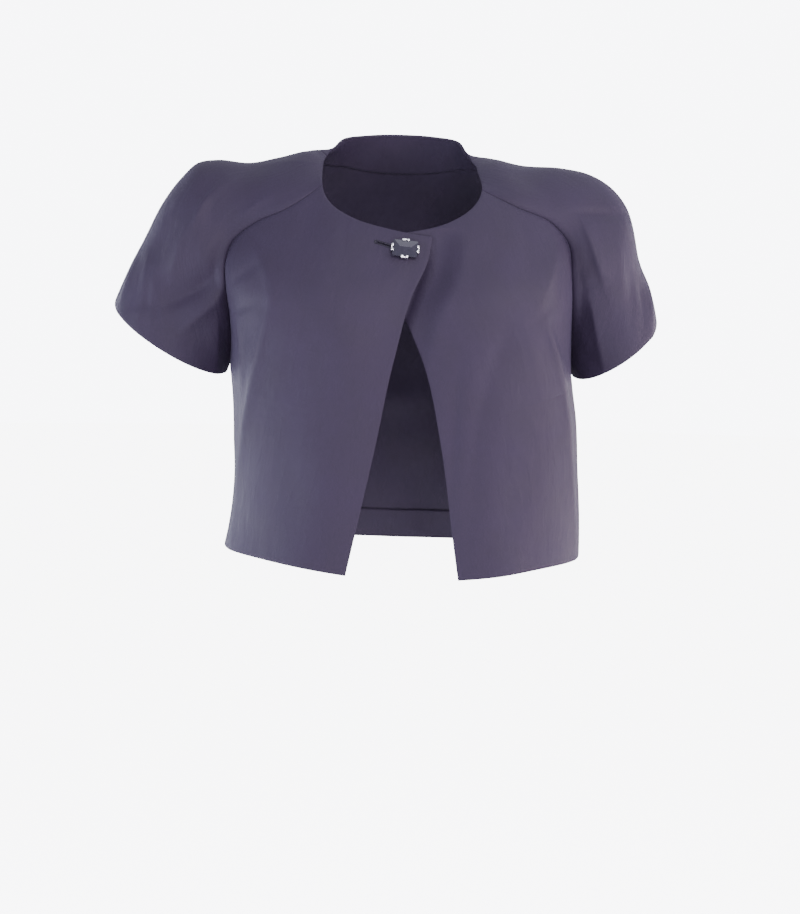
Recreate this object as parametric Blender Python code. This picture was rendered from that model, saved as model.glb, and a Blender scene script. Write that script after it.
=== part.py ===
"""A bolero jacket of navy satin with raglan sleeves, in its worn shape, held by one jewelled button.

The script makes one object for each piece that a maker would cut and sew. +Z is up and the front faces -Y.
The origin is the middle of the neck opening at shoulder height, so the wearer's right is at -X.
All sizes and tables are in millimetres, and make_object turns them to metres.
"""

import math

import bmesh
import bpy
import numpy as np
from mathutils import Matrix, Vector

# Driving sizes

MM = 0.001
WALL = 1.6
SEAM_GAP = 0.3
LAP_RISE = 4.2
LAP_FADE = (8, 34)
SECTION_POWER = 2.4

CAP_ROWS = 16
CUFF_ROWS = 4
SIDE_ROWS = 12
FRONT_COLUMNS = 18
BACK_COLUMNS = 28
SLEEVE_COLUMNS = 22

STONE_WIDTH = 23.5
STONE_HEIGHT = 16.0
STONE_RIDGE = 10.5
STONE_GIRDLE = 1.2
STONE_CROWN = 4.6
STONE_BACK = 2.2
STONE_TAPER = 6.0
STONE_CORNER = 2.2
STONE_RIDGE_WIDTH = 0.6
BUTTON_SEAT = (0.9, -80.5)
BUTTON_TURN = 4.5
TRAY_THICKNESS = 1.0
TRAY_MARGIN = 2.4
CLAW_WIRE = 0.9
CLAW_SPREAD = 3.2
CLAW_HEIGHT = 1.2
CLAW_REACH = 1.7
CLAW_LIFT = 0.9
SHANK_WIDTH = 3.2
SHANK_THICKNESS = 1.0

HOLE_WIDE = 2.8
HOLE_NARROW = 1.0
HOLE_WIDENS_AT = 0.7

# The body form at each height: half widths at the wearer's right and left, depths in front and behind

FORM = (
    # height, right, left, front, behind
    (30, 150, 148, 76, 70),
    (-25, 158, 154, 84, 88),
    (-70, 164, 158, 96, 102),
    (-125, 166, 159, 118, 107),
    (-190, 164, 157, 127, 104),
    (-250, 156, 166, 125, 96),
    (-320, 157, 171, 122, 93),
    (-390, 168, 177, 122, 96),
)

# The front edges from the neck corner to the hem, as x and z on the form

FRONT_EDGE = {
    "right": (
        (25.9, -67.6), (23.2, -87.1), (6.8, -125.5), (-8.2, -184.8),
        (-23.8, -265.5), (-36.6, -326.6), (-49.3, -386),
    ),
    "left": (
        (-27, -66), (-15, -100), (3.1, -143.6), (22, -190.3),
        (38.4, -264.3), (50.1, -345.2), (56.6, -388.6),
    ),
}

# Seams, necklines and hems, as x, y and z. The front neckline and hem run on to the ends of the front edge

NECK_FRONT = {
    "right": ((-78.6, -52, -22), (-70.9, -68, -37.7), (-47, -84, -52.1), (-17.6, -91, -60.4)),
    "left": ((72.6, -54, -24.5), (63.5, -75, -40.7), (42.2, -87, -54.2), (17.2, -91, -61.6)),
}
NECK_BACK = (
    (-76.5, 8, 4), (-69.2, 30, 13.4), (-62, 45, 20.1), (-36, 62, 24), (-4, 68, 25),
    (28, 62, 23.5), (52.1, 45, 19.1), (58.5, 28, 11), (63.5, 8, 2.4),
)
RAGLAN_FRONT = {
    "right": (
        (-78.6, -52, -22), (-112.2, -61, -45.5), (-141.6, -56, -59.1), (-163.3, -52, -78.2),
        (-169.7, -54, -99.9), (-169, -54, -117.4), (-164.9, -35, -152), (-163.9, 0, -189.6),
    ),
    "left": (
        (72.6, -54, -24.5), (104.9, -62, -39.3), (140.8, -57, -55.5), (155.2, -54, -72),
        (160, -55, -104), (161, -52, -124), (161.4, -32, -153), (157.5, 0, -188.3),
    ),
}
RAGLAN_BACK = {
    "right": (
        (-76.5, 8, 4), (-84, 19, 8.5), (-108, 48, 0), (-136, 68, -22),
        (-157, 74, -58), (-166, 64, -102), (-167, 38, -150), (-163.9, 0, -189.6),
    ),
    "left": (
        (63.5, 8, 2.4), (72.3, 19, 4.6), (98, 48, -3), (128, 68, -25),
        (148, 74, -60), (158, 64, -103), (161, 38, -150), (157.5, 0, -188.3),
    ),
}
SIDE_SEAM = {
    "right": (
        (-163.9, 0, -189.6), (-159.2, 0, -237.6), (-155.5, 0, -283), (-158.4, 0, -330), (-169, 0, -375.5),
    ),
    "left": (
        (157.5, 0, -188.3), (159.2, 0, -206), (164, 0, -238),
        (168, 0, -283), (172.6, 0, -330), (176.3, 0, -381.4),
    ),
}
HEM_FRONT = {
    "right": ((-90, -115, -380.4), (-130, -88, -376.6), (-161, -45, -375.5), (-169, 0, -375.5)),
    "left": ((93.2, -117, -385), (135, -90, -381), (165, -48, -380.4), (176.3, 0, -381.4)),
}
HEM_BACK = (
    (-169, 0, -375.5), (-140, 62, -377), (-72, 90, -380), (4, 96, -382),
    (80, 90, -382), (148, 62, -382), (176.3, 0, -381.4),
)
CENTRE_BACK = (
    (-4, 68, 25), (-4, 84, -12), (-3, 101, -68), (-2, 107, -130),
    (-1, 103, -200), (1, 95, -290), (4, 96, -382),
)

# Sleeves: the ridge that makes the shoulder's outline, and where the underarm seam ends at the hem

RIDGE = {
    "right": (
        (-78.7, -14, -2.8), (-93.1, 4, 7), (-122.2, 10, 0.9), (-150.7, 12, -4.7), (-183.3, 11, -2.3),
        (-200.8, 10, -4.9), (-216.7, 8, -19.6), (-234.7, 6, -44.9), (-251.2, 4, -79), (-269.6, 1, -114.8),
        (-280.2, 0, -140.1),
    ),
    "left": (
        (68.2, -14, -4.7), (85.4, 4, 2.9), (111, 10, -2.3), (152.2, 12, -4.3), (178.9, 11, -10.2),
        (200.1, 10, -22.3), (216.2, 8, -42.6), (223.6, 6, -67.6), (228.6, 4, -96), (240.6, 1, -124.1),
        (246.8, 0, -150),
    ),
}
RIDGE_AT_UNDERARM = 0.905
CUFF_SHARE = 0.1
CUFF_SEAM_END = {"right": (-169.8, 2, -206.9), "left": (166, 2, -205)}

# How far each sleeve row is pulled as it leaves its seam and as it comes to the ridge. The share of the seam
# is 0 at the neckline and 1 at the underarm, out is away from the body and round away from the ridge.

ROUND_FRONT = (
    # share, out, round and up at the seam, round and up at the ridge
    (0.00, 1, -12, 8, 12, -5),
    (0.15, 2, -6, 20, 30, -3),
    (0.30, 3, 0, 24, 36, -2),
    (0.45, 14, 8, 32, 40, -2),
    (0.60, 26, 16, 22, 54, -4),
    (0.75, 26, 34, 6, 66, -6),
    (0.90, 18, 56, -2, 72, -8),
    (1.00, 14, 70, -6, 76, -10),
    (1.10, 9, 77, -9, 78, -16),
)
ROUND_BACK = (
    # share, out, round and up at the seam, round and up at the ridge
    (0.00, 0, -6, -2, 8, 3),
    (0.15, 1, -12, 2, 14, 1),
    (0.30, 6, -12, 12, 26, 1),
    (0.45, 16, 6, 24, 40, 2),
    (0.60, 26, 16, 22, 54, 4),
    (0.75, 26, 34, 8, 66, 6),
    (0.90, 18, 56, 2, 72, 8),
    (1.00, 14, 70, 2, 76, 10),
    (1.10, 9, 77, 2, 78, 12),
)

# Folds, with their start, middle and end as x and z. A hollow has a rise below zero

FOLDS = {
    # start, middle, end, rise, half width
    "front_right": (
        ((-122, -112), (-136, -216), (-153, -300), 8.0, 13),
        ((-160, -218), (-154, -240), (-143, -262), 4.0, 9),
        ((-95, -96), (-62, -150), (-40, -235), 2.4, 22),
        ((-112, -250), (-98, -310), (-96, -372), -3.0, 18),
    ),
    "front_left": (
        ((126, -120), (148, -225), (167, -330), 8.0, 13),
        ((92, -88), (76, -150), (58, -235), 2.6, 22),
        ((112, -262), (104, -320), (106, -376), -3.0, 18),
        ((143, -74), (146, -92), (146, -112), 2.4, 9),
    ),
    "back": (
        ((-132, -150), (-112, -225), (-104, -330), 5.0, 17),
        ((131, -160), (118, -240), (112, -340), 5.0, 18),
        ((-52, -215), (-12, -240), (34, -228), -3.0, 16),
        ((-70, -60), (-50, -150), (-52, -300), 2.2, 24),
        ((66, -70), (52, -160), (50, -310), 2.2, 24),
    ),
    "sleeve_right": (
        ((-104, -16), (-124, -30), (-146, -42), 3.0, 6),
        ((-174, -24), (-199, -44), (-206, -70), 3.5, 8),
        ((-176, -92), (-202, -115), (-226, -136), -3.0, 12),
        ((-216, -58), (-232, -78), (-240, -100), -3.0, 8),
        ((-258, -100), (-263, -122), (-268, -150), 3.0, 7),
        ((-170, -122), (-191, -148), (-206, -168), 3.5, 8),
    ),
    "sleeve_left": (
        ((92, -18), (128, -40), (168, -66), 3.5, 7),
        ((168, -46), (190, -48), (212, -43), -3.5, 7),
        ((169, -52), (180, -88), (190, -134), 3.0, 8),
        ((185, -150), (189, -166), (194, -184), 3.0, 7),
        ((229, -98), (235, -128), (242, -154), 3.0, 8),
    ),
    "sleeve_right_behind": (
        ((-168, -40), (-200, -60), (-226, -96), 3.5, 10),
        ((-178, -110), (-204, -130), (-236, -140), -4.0, 10),
        ((-172, -150), (-196, -164), (-222, -168), 3.0, 8),
    ),
    "sleeve_left_behind": (
        ((160, -40), (184, -62), (204, -98), 3.5, 10),
        ((168, -112), (190, -134), (216, -146), -4.0, 10),
        ((166, -152), (184, -168), (206, -176), 3.0, 8),
    ),
}
FOLD_ENDS = (0.04, 0.96)
FOLD_TAPER = 0.6
FOLD_FADE = 0.14
SIDE_FADE = 20

# The buttonhole's two ends as x and z on the over front

HOLE_ENDS = ((-26.2, -73.2), (4.4, -81.9))

OUTWARD = {"right": -1, "left": 1}
FRONT, BEHIND = -1, 1


# Lines and directions


def unit(vectors):
    """The same directions at length one."""
    return vectors / np.maximum(np.linalg.norm(vectors, axis=-1, keepdims=True), 1e-9)


def smooth(points, steps=24):
    """A smooth line through the points, with steps short chords between each two."""
    points = np.array(points, float)
    reach = np.concatenate([[0], np.cumsum(np.linalg.norm(np.diff(points, axis=0), axis=1))])
    slopes = np.gradient(points, reach, axis=0, edge_order=2)
    pieces = []
    for i in range(len(points) - 1):
        t = np.linspace(0, 1, steps, endpoint=False)[:, None]
        span = reach[i + 1] - reach[i]
        pieces.append(
            (1 + 2 * t) * (1 - t) ** 2 * points[i]
            + t * (1 - t) ** 2 * span * slopes[i]
            + t * t * (3 - 2 * t) * points[i + 1]
            - t * t * (1 - t) * span * slopes[i + 1]
        )
    return np.concatenate(pieces + [points[-1:]])


def pick(line, shares):
    """The points at these shares of a line's length."""
    reach = np.concatenate([[0], np.cumsum(np.linalg.norm(np.diff(line, axis=0), axis=1))])
    wanted = np.asarray(shares) * reach[-1]
    return np.stack([np.interp(wanted, reach, line[:, axis]) for axis in range(3)], axis=-1)


def spread(line, count):
    """count equal steps along a line."""
    return pick(line, np.linspace(0, 1, count + 1))


def read_table(table, key):
    """The other columns of a table at any value of its first one, read from smooth lines through the rows."""
    table = np.array(table, float)
    if table[0, 0] > table[-1, 0]:
        table = table[::-1]
    keys, values = table[:, 0], table[:, 1:]
    slopes = np.gradient(values, keys, axis=0)
    key = np.clip(np.asarray(key, float), keys[0], keys[-1])
    low = np.clip(np.searchsorted(keys, key, side="right") - 1, 0, len(keys) - 2)
    span = keys[low + 1] - keys[low]
    t = ((key - keys[low]) / span)[..., None]
    span = span[..., None]
    read = (1 + 2 * t) * (1 - t) ** 2 * values[low] + t * (1 - t) ** 2 * span * slopes[low]
    read += t * t * (3 - 2 * t) * values[low + 1] - t * t * (1 - t) * span * slopes[low + 1]
    return np.moveaxis(read, -1, 0)


def ease(value, low, high):
    """0 at low, 1 at high, with soft ends."""
    t = np.clip((value - low) / (high - low), 0, 1)
    return t * t * (3 - 2 * t)


# The body form


def form_radius(angle, height, facing):
    """How far the form reaches from its axis. angle is 0 at the middle of the front or the back."""
    right, left, front, behind = read_table(FORM, height)
    width = np.where(np.sin(angle) < 0, right, left)
    depth = front if facing == FRONT else behind
    across = (np.abs(np.sin(angle)) / width) ** SECTION_POWER
    through = (np.abs(np.cos(angle)) / depth) ** SECTION_POWER
    return (across + through) ** (-1 / SECTION_POWER)


def to_form(points, facing):
    """Angle, height and share of the form's radius, for each point."""
    x, y, z = np.moveaxis(points, -1, 0)
    angle = np.arctan2(x, facing * y)
    return np.stack([angle, z, np.hypot(x, y) / form_radius(angle, z, facing)], axis=-1)


def on_front_form(places):
    """Points on the front of the form, from their x and z."""
    x, z = np.moveaxis(np.array(places, float), -1, 0)
    right, left, depth, _ = read_table(FORM, z)
    width = np.where(x < 0, right, left)
    y = -depth * (1 - np.abs(x / width) ** SECTION_POWER) ** (1 / SECTION_POWER)
    return np.stack([x, y, z], axis=-1)


def from_form(values, facing):
    """The points that to_form would turn into these values."""
    angle, z, share = np.moveaxis(values, -1, 0)
    radius = share * form_radius(angle, z, facing)
    return np.stack([radius * np.sin(angle), facing * radius * np.cos(angle), z], axis=-1)


def patch(top, bottom, first, last, facing, level_start=False):
    """A panel between four edges, rounded by the body form. level_start suits half of a mirrored panel."""
    top, bottom, first, last = (to_form(line, facing) for line in (top, bottom, first, last))
    powers = np.array((1, 2, 2) if level_start else (1, 1, 1))
    u = np.linspace(0, 1, len(top))[None, :, None] ** powers
    v = np.linspace(0, 1, len(first))[:, None, None]
    ruled = (1 - v) * top + v * bottom + (1 - u) * first[:, None] + u * last[:, None]
    corners = (1 - u) * ((1 - v) * top[0] + v * bottom[0]) + u * ((1 - v) * top[-1] + v * bottom[-1])
    return from_form(ruled - corners, facing)


# Panels


def outer_edge(raglan, side):
    """A panel's long edge: its raglan seam, then its side seam."""
    return np.concatenate([spread(smooth(raglan), CAP_ROWS), spread(smooth(side), SIDE_ROWS)[1:]])


def front_grid(side):
    """One front, with rows from the neckline to the hem and columns from the front edge to the seams."""
    rows = CAP_ROWS + SIDE_ROWS
    edge = on_front_form(FRONT_EDGE[side])
    top = spread(smooth([*NECK_FRONT[side], edge[0]]), FRONT_COLUMNS)[::-1]
    bottom = spread(smooth([edge[-1], *HEM_FRONT[side]]), FRONT_COLUMNS)
    seams = outer_edge(RAGLAN_FRONT[side], SIDE_SEAM[side])
    return patch(top, bottom, spread(smooth(edge), rows), seams, FRONT)


def tuck_under(under, over):
    """The under front's grid, moved in behind the over front where they lap."""
    cover_places, cover_depths = over[..., (0, 2)].reshape(-1, 2), over[..., 1].ravel()
    apart = np.linalg.norm(under[..., None, (0, 2)] - cover_places, axis=-1)
    closeness = 1 / (apart + 0.5) ** 4
    cover = (closeness * cover_depths).sum(axis=-1) / closeness.sum(axis=-1)
    reach = 1 - ease(apart.min(axis=-1), *LAP_FADE)
    tucked = under.copy()
    tucked[..., 1] += reach * np.maximum(0, cover + LAP_RISE - under[..., 1])
    return tucked


def back_grid():
    """The back, with columns from the wearer's right to the left. Each half starts at the centre back."""
    top = spread(smooth(NECK_BACK), BACK_COLUMNS)
    bottom = spread(smooth(HEM_BACK), BACK_COLUMNS)
    middle = BACK_COLUMNS // 2
    centre = smooth((top[middle], *CENTRE_BACK[1:-1], bottom[middle]))
    centre = spread(centre, CAP_ROWS + SIDE_ROWS)
    edges = {side: outer_edge(RAGLAN_BACK[side], SIDE_SEAM[side]) for side in ("right", "left")}
    right = patch(top[middle::-1], bottom[middle::-1], centre, edges["right"], BEHIND, level_start=True)
    left = patch(top[middle:], bottom[middle:], centre, edges["left"], BEHIND, level_start=True)
    return np.concatenate([right[:, ::-1], left[:, 1:]], axis=1)


def bend(start, pull, end, end_pull):
    """A curve from start to end that leaves along pull and comes in from end_pull."""
    t = np.linspace(0, 1, 33)[:, None]
    return (
        (1 - t) ** 3 * start
        + 3 * t * (1 - t) ** 2 * (start + pull)
        + 3 * t * t * (1 - t) * (end + end_pull)
        + t**3 * end
    )


def sleeve_grid(side):
    """One sleeve, with a row from seam to seam over the ridge for each step from the neckline to the hem."""
    out = OUTWARD[side]
    ridge = smooth(RIDGE[side])
    cuff_end = np.array(CUFF_SEAM_END[side], float)
    seams = {FRONT: smooth(RAGLAN_FRONT[side]), BEHIND: smooth(RAGLAN_BACK[side])}
    rows = []
    for row in range(CAP_ROWS + CUFF_ROWS + 1):
        on_cap = min(1, row / CAP_ROWS)
        on_cuff = max(0, row - CAP_ROWS) / CUFF_ROWS
        top = pick(ridge, [on_cap * RIDGE_AT_UNDERARM + on_cuff * (1 - RIDGE_AT_UNDERARM)])[0]
        halves = []
        for facing, table in ((FRONT, ROUND_FRONT), (BEHIND, ROUND_BACK)):
            seam = pick(seams[facing], [on_cap])[0]
            seam = seam + (cuff_end - seam) * on_cuff
            pulls = read_table(table, on_cap + on_cuff * CUFF_SHARE)
            seam_pull = pulls[:3] * (out, facing, 1)
            ridge_pull = np.array([0, facing * pulls[3], pulls[4]])
            halves.append(bend(seam, seam_pull, top, ridge_pull))
        rows.append(spread(np.concatenate([halves[0], halves[1][::-1][1:]]), SLEEVE_COLUMNS))
    return np.array(rows)


# Folds and walls


def normals(grid, core):
    """The outward direction at each point of a grid that lies around core."""
    facing_out = unit(np.cross(np.gradient(grid, axis=1), np.gradient(grid, axis=0)))
    return facing_out if np.sum(facing_out * (grid - core)) > 0 else -facing_out


def fold_rise(grid, folds):
    """How far the folds lift each point, seen from the front or the back."""
    places = grid[..., (0, 2)]
    t = np.linspace(0, 1, 41)
    lift = np.zeros(places.shape[:2])
    for start, middle, end, rise, width in folds:
        start, middle, end = np.array((start, middle, end), float)
        turn = 2 * middle - (start + end) / 2
        path = (1 - t[:, None]) ** 2 * start + 2 * (t * (1 - t))[:, None] * turn + t[:, None] ** 2 * end
        apart = np.linalg.norm(places[:, :, None] - path, axis=-1)
        nearest = t[np.argmin(apart, axis=-1)]
        along = np.sin(np.pi * np.clip(nearest, *FOLD_ENDS)) ** FOLD_TAPER
        lift += rise * along * np.exp(-((apart.min(axis=-1) / width) ** 2))
    return lift


def edge_fade(shape, seam_on_first):
    """0 along the seams and 1 inside, so that folds leave the seams where they are."""
    u = np.linspace(0, 1, shape[1])[None, :]
    first = ease(u, 0, FOLD_FADE) if seam_on_first else 1
    return np.ones(shape) * first * ease(1 - u, 0, FOLD_FADE)


def open_seam(grid, out, column, rows=slice(None)):
    """Draws a panel's edge back from its seam by half the gap."""
    edge = grid[rows, column]
    inside = grid[rows, 1 if column == 0 else -2] - edge
    across = unit(np.cross(np.gradient(edge, axis=0), out[rows, column]))
    across *= np.sign(np.sum(across * inside, axis=-1, keepdims=True))
    grid[rows, column] = edge + across * SEAM_GAP / 2


# Objects


def material(name, colour, roughness, metallic=0.0, sheen=0.0):
    """A plain finish for one kind of piece."""
    made = bpy.data.materials.new(name)
    made.use_nodes = True
    shader = made.node_tree.nodes["Principled BSDF"]
    shader.inputs["Base Color"].default_value = (*colour, 1)
    shader.inputs["Roughness"].default_value = roughness
    shader.inputs["Metallic"].default_value = metallic
    shader.inputs["Sheen Weight"].default_value = sheen
    made.diffuse_color = (*colour, 1)
    return made


def make_object(name, mesh_maker, finish):
    """One object in metres from a bmesh in millimetres."""
    bmesh.ops.recalc_face_normals(mesh_maker, faces=mesh_maker.faces)
    bmesh.ops.triangulate(mesh_maker, faces=mesh_maker.faces, quad_method="SHORT_EDGE")
    bmesh.ops.scale(mesh_maker, vec=Vector((MM, MM, MM)), verts=mesh_maker.verts)
    mesh = bpy.data.meshes.new(name)
    mesh_maker.to_mesh(mesh)
    mesh_maker.free()
    mesh.materials.append(finish)
    mesh.shade_smooth()
    mesh.set_sharp_from_angle(angle=math.radians(50))
    made = bpy.data.objects.new(name, mesh)
    bpy.context.scene.collection.objects.link(made)
    return made


def cloth_wall(name, grid, out, finish):
    """A cloth panel: a grid laid on its outer face, with its inner face one wall thickness behind it."""
    rows, columns = grid.shape[0] - 1, grid.shape[1] - 1
    sheet = bmesh.new()
    row_of = sheet.verts.layers.int.new("row")
    column_of = sheet.verts.layers.int.new("column")
    bmesh.ops.create_grid(sheet, x_segments=columns, y_segments=rows, size=1)
    for vert in sheet.verts:
        vert[row_of] = round((vert.co.y + 1) / 2 * rows)
        vert[column_of] = round((vert.co.x + 1) / 2 * columns)
        vert.co = grid[vert[row_of], vert[column_of]]
    lifted = bmesh.ops.extrude_face_region(sheet, geom=sheet.faces[:], use_keep_orig=True)
    for vert in lifted["geom"]:
        if isinstance(vert, bmesh.types.BMVert):
            place = vert[row_of], vert[column_of]
            vert.co = grid[place] - out[place] * WALL
    return make_object(name, sheet, finish)


def solid_between(name, outlines, finish, turn):
    """A closed solid through like outlines, each a list of points, moved by turn."""
    shape = bmesh.new()
    rings = []
    for outline in outlines:
        verts = [shape.verts.new(point) for point in outline]
        rings.append(verts)
    for ring, following in zip(rings, rings[1:]):
        for i in range(len(ring)):
            j = (i + 1) % len(ring)
            shape.faces.new((ring[i], ring[j], following[j], following[i]))
    shape.faces.new(rings[0])
    shape.faces.new(rings[-1])
    bmesh.ops.transform(shape, matrix=turn, verts=shape.verts)
    return make_object(name, shape, finish)


def clipped(width, height, cut, level):
    """A rectangle with cut corners, at a level in front of the button's girdle."""
    w, h = width / 2, height / 2
    quarter = ((w, h - cut), (w - cut, h))
    half = quarter + tuple((-x, z) for x, z in reversed(quarter))
    return [(x, -level, z) for x, z in half + tuple((-x, -z) for x, z in half)]


def build_cloth():
    """The two fronts, the back and the two sleeves, with the grids and outward directions that shape them."""
    satin = material("navy_satin", (0.022, 0.021, 0.05), 0.5, sheen=0.3)
    grids = {"back": back_grid()}
    for side in ("right", "left"):
        grids["front_" + side] = front_grid(side)
        grids["sleeve_" + side] = sleeve_grid(side)
    grids["front_left"] = tuck_under(grids["front_left"], grids["front_right"])
    outs = {}
    for name, grid in grids.items():
        lift = fold_rise(grid, FOLDS[name])
        core = grid * (0, 0, 1)
        if name.startswith("sleeve"):
            core = grid.mean(axis=1, keepdims=True)
            behind = ease(grid[..., 1], -SIDE_FADE, SIDE_FADE)
            lift = lift * (1 - behind) + fold_rise(grid, FOLDS[name + "_behind"]) * behind
        lift *= edge_fade(grid.shape[:2], seam_on_first=not name.startswith("front"))
        grids[name] = grid + normals(grid, core) * lift[..., None]
        outs[name] = normals(grids[name], core)
    join_directions(outs)
    for name, grid in grids.items():
        open_seam(grid, outs[name], -1)
        if not name.startswith("front"):
            open_seam(grid, outs[name], 0)
    pieces = {name: cloth_wall(name, grids[name], outs[name], satin) for name in grids}
    return pieces, grids, outs


def join_directions(outs):
    """Gives both sides of each seam one outward direction, so that their walls meet in a mitre."""
    for side, back_column in (("right", 0), ("left", -1)):
        front, sleeve, back = outs["front_" + side], outs["sleeve_" + side], outs["back"]
        cap, cuff = slice(0, CAP_ROWS), slice(CAP_ROWS + 1, None)
        front_seam = unit(front[cap, -1] + sleeve[cap, 0])
        back_seam = unit(back[cap, back_column] + sleeve[cap, -1])
        underarm = unit(sleeve[cuff, 0] + sleeve[cuff, -1])
        side_seam = unit(front[cuff, -1] + back[cuff, back_column])
        cross = CAP_ROWS
        middle = front[cross, -1] + back[cross, back_column] + sleeve[cross, 0] + sleeve[cross, -1]
        middle = unit(middle * (1, 0, 1))
        front[cap, -1] = sleeve[cap, 0] = front_seam
        back[cap, back_column] = sleeve[cap, -1] = back_seam
        sleeve[cuff, 0] = sleeve[cuff, -1] = underarm
        front[cuff, -1] = back[cuff, back_column] = side_seam
        for grid, column in ((front, -1), (back, back_column), (sleeve, 0), (sleeve, -1)):
            grid[cross, column] = middle


def cut_buttonhole(front):
    """Cuts the slit through the over front with a tapered blade, wider where the shank sits."""
    (x0, z0), (x1, z1) = HOLE_ENDS
    length = math.hypot(x1 - x0, z1 - z0)
    slope = math.atan2(z1 - z0, x1 - x0)
    outline = ((0, HOLE_NARROW / 2), (length * HOLE_WIDENS_AT, HOLE_WIDE / 2), (length, HOLE_WIDE / 2))
    outline += tuple((along, -half) for along, half in reversed(outline))
    blade = solid_between(
        "buttonhole_cutter",
        [[(x, y, z) for x, z in outline] for y in (-140, -70)],
        material("cutter", (1, 0, 0), 0.5),
        Matrix.Translation((x0, 0, z0)) @ Matrix.Rotation(-slope, 4, "Y"),
    )
    blade.hide_render = True
    blade.display_type = "WIRE"
    cut = front.modifiers.new("buttonhole", "BOOLEAN")
    cut.operation = "DIFFERENCE"
    cut.object = blade


def seat_on(grid, out, place):
    """A panel's surface point and outward direction at an x and z, from the nearest point's own plane."""
    x, z = place
    apart = np.hypot(grid[..., 0] - x, grid[..., 2] - z)
    nearest = np.unravel_index(np.argmin(apart), apart.shape)
    point, away = grid[nearest], out[nearest]
    y = point[1] - ((x - point[0]) * away[0] + (z - point[2]) * away[2]) / away[1]
    return Vector((x, y, z)), Vector(away)


def build_button(turn, under_gap):
    """The stone, its tray, the claws and the shank, which stops short of the front under_gap behind."""
    silver = material("polished_silver", (0.75, 0.75, 0.77), 0.2, metallic=1.0)
    stone = material("smoky_stone", (0.1, 0.11, 0.17), 0.08)
    back_size = STONE_WIDTH - STONE_TAPER, STONE_HEIGHT - STONE_TAPER
    girdle = STONE_GIRDLE / 2
    solid_between(
        "button_stone",
        [
            clipped(*back_size, STONE_CORNER, -STONE_BACK - girdle),
            clipped(STONE_WIDTH, STONE_HEIGHT, STONE_CORNER, -girdle),
            clipped(STONE_WIDTH, STONE_HEIGHT, STONE_CORNER, girdle),
            clipped(STONE_RIDGE, STONE_RIDGE_WIDTH, STONE_RIDGE_WIDTH / 4, STONE_CROWN),
        ],
        stone,
        turn,
    )
    tray_front = -STONE_BACK - girdle - SEAM_GAP
    tray_back = tray_front - TRAY_THICKNESS
    tray_size = STONE_WIDTH - TRAY_MARGIN, STONE_HEIGHT - TRAY_MARGIN
    tray = [clipped(*tray_size, STONE_CORNER, level) for level in (tray_back, tray_front)]
    solid_between("button_setting", tray, silver, turn)
    half_width, half_height = STONE_WIDTH / 2, STONE_HEIGHT / 2
    around = (("right", half_width), ("top", half_height), ("left", half_width), ("bottom", half_height))
    for quarter, (name, half) in enumerate(around):
        aimed = turn @ Matrix.Rotation(-quarter * math.pi / 2, 4, "Y")
        build_claw("claw_" + name, half + SEAM_GAP + CLAW_WIRE / 2, tray_back, aimed, silver)
    half, thick = SHANK_WIDTH / 2, SHANK_THICKNESS / 2
    outline = (half, thick), (-half, thick), (-half, -thick), (half, -thick)
    levels = SEAM_GAP - under_gap, tray_back - SEAM_GAP
    shank = [[(x, -level, z) for x, z in outline] for level in levels]
    solid_between("button_shank", shank, silver, turn)


def build_claw(name, out, tray_back, turn, finish):
    """A strap beside the girdle, with two prongs bent in over the stone's crown."""
    claw = bmesh.new()
    bmesh.ops.create_grid(claw, x_segments=1, y_segments=3, size=0.5)
    size = Matrix.Diagonal((CLAW_WIRE, CLAW_SPREAD, 1, 1))
    bmesh.ops.transform(claw, matrix=Matrix.Translation((out, 0, tray_back)) @ size, verts=claw.verts)
    strap = bmesh.ops.extrude_face_region(claw, geom=claw.faces[:], use_keep_orig=True)["geom"]
    strap_verts = [part for part in strap if isinstance(part, bmesh.types.BMVert)]
    bmesh.ops.translate(claw, vec=(0, 0, CLAW_HEIGHT - tray_back), verts=strap_verts)
    ends = [part for part in strap if isinstance(part, bmesh.types.BMFace)]
    ends = [face for face in ends if abs(face.calc_center_median().y) > CLAW_SPREAD / 6]
    prongs = bmesh.ops.extrude_face_region(claw, geom=ends)["geom"]
    prong_verts = [part for part in prongs if isinstance(part, bmesh.types.BMVert)]
    bmesh.ops.delete(claw, geom=ends, context="FACES_ONLY")
    bmesh.ops.translate(claw, vec=(-CLAW_REACH, 0, CLAW_LIFT), verts=prong_verts)
    bmesh.ops.transform(claw, matrix=turn @ Matrix.Rotation(math.pi / 2, 4, "X"), verts=claw.verts)
    return make_object(name, claw, finish)


def main():
    for old in list(bpy.data.objects):
        bpy.data.objects.remove(old, do_unlink=True)
    pieces, grids, outs = build_cloth()
    cut_buttonhole(pieces["front_right"])
    seat, out = seat_on(grids["front_right"], outs["front_right"], BUTTON_SEAT)
    under_seat, _ = seat_on(grids["front_left"], outs["front_left"], BUTTON_SEAT)
    height = STONE_GIRDLE / 2 + STONE_BACK + TRAY_THICKNESS + 3 * SEAM_GAP
    across = Vector((math.cos(math.radians(BUTTON_TURN)), 0, -math.sin(math.radians(BUTTON_TURN))))
    across = (across - out * across.dot(out)).normalized()
    frame = Matrix((across, -out, across.cross(-out))).transposed().to_4x4()
    under_gap = height + (seat - under_seat).dot(out)
    build_button(Matrix.Translation(seat + out * height) @ frame, under_gap)


main()
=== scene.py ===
# %% [markdown]
# A bolero jacket in navy cotton satin
#
# The jacket is cropped at the waist, has raglan sleeves that end above the elbow, a round neck without a collar,
# and one jewelled button that holds its two fronts together at the neck. It keeps the shape that it has when worn.
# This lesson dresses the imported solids: every cloth piece is laid again on the same form with far more points,
# so that it can carry seams, creases and turned hems, and then each finish is built from what the real one is.

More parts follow.
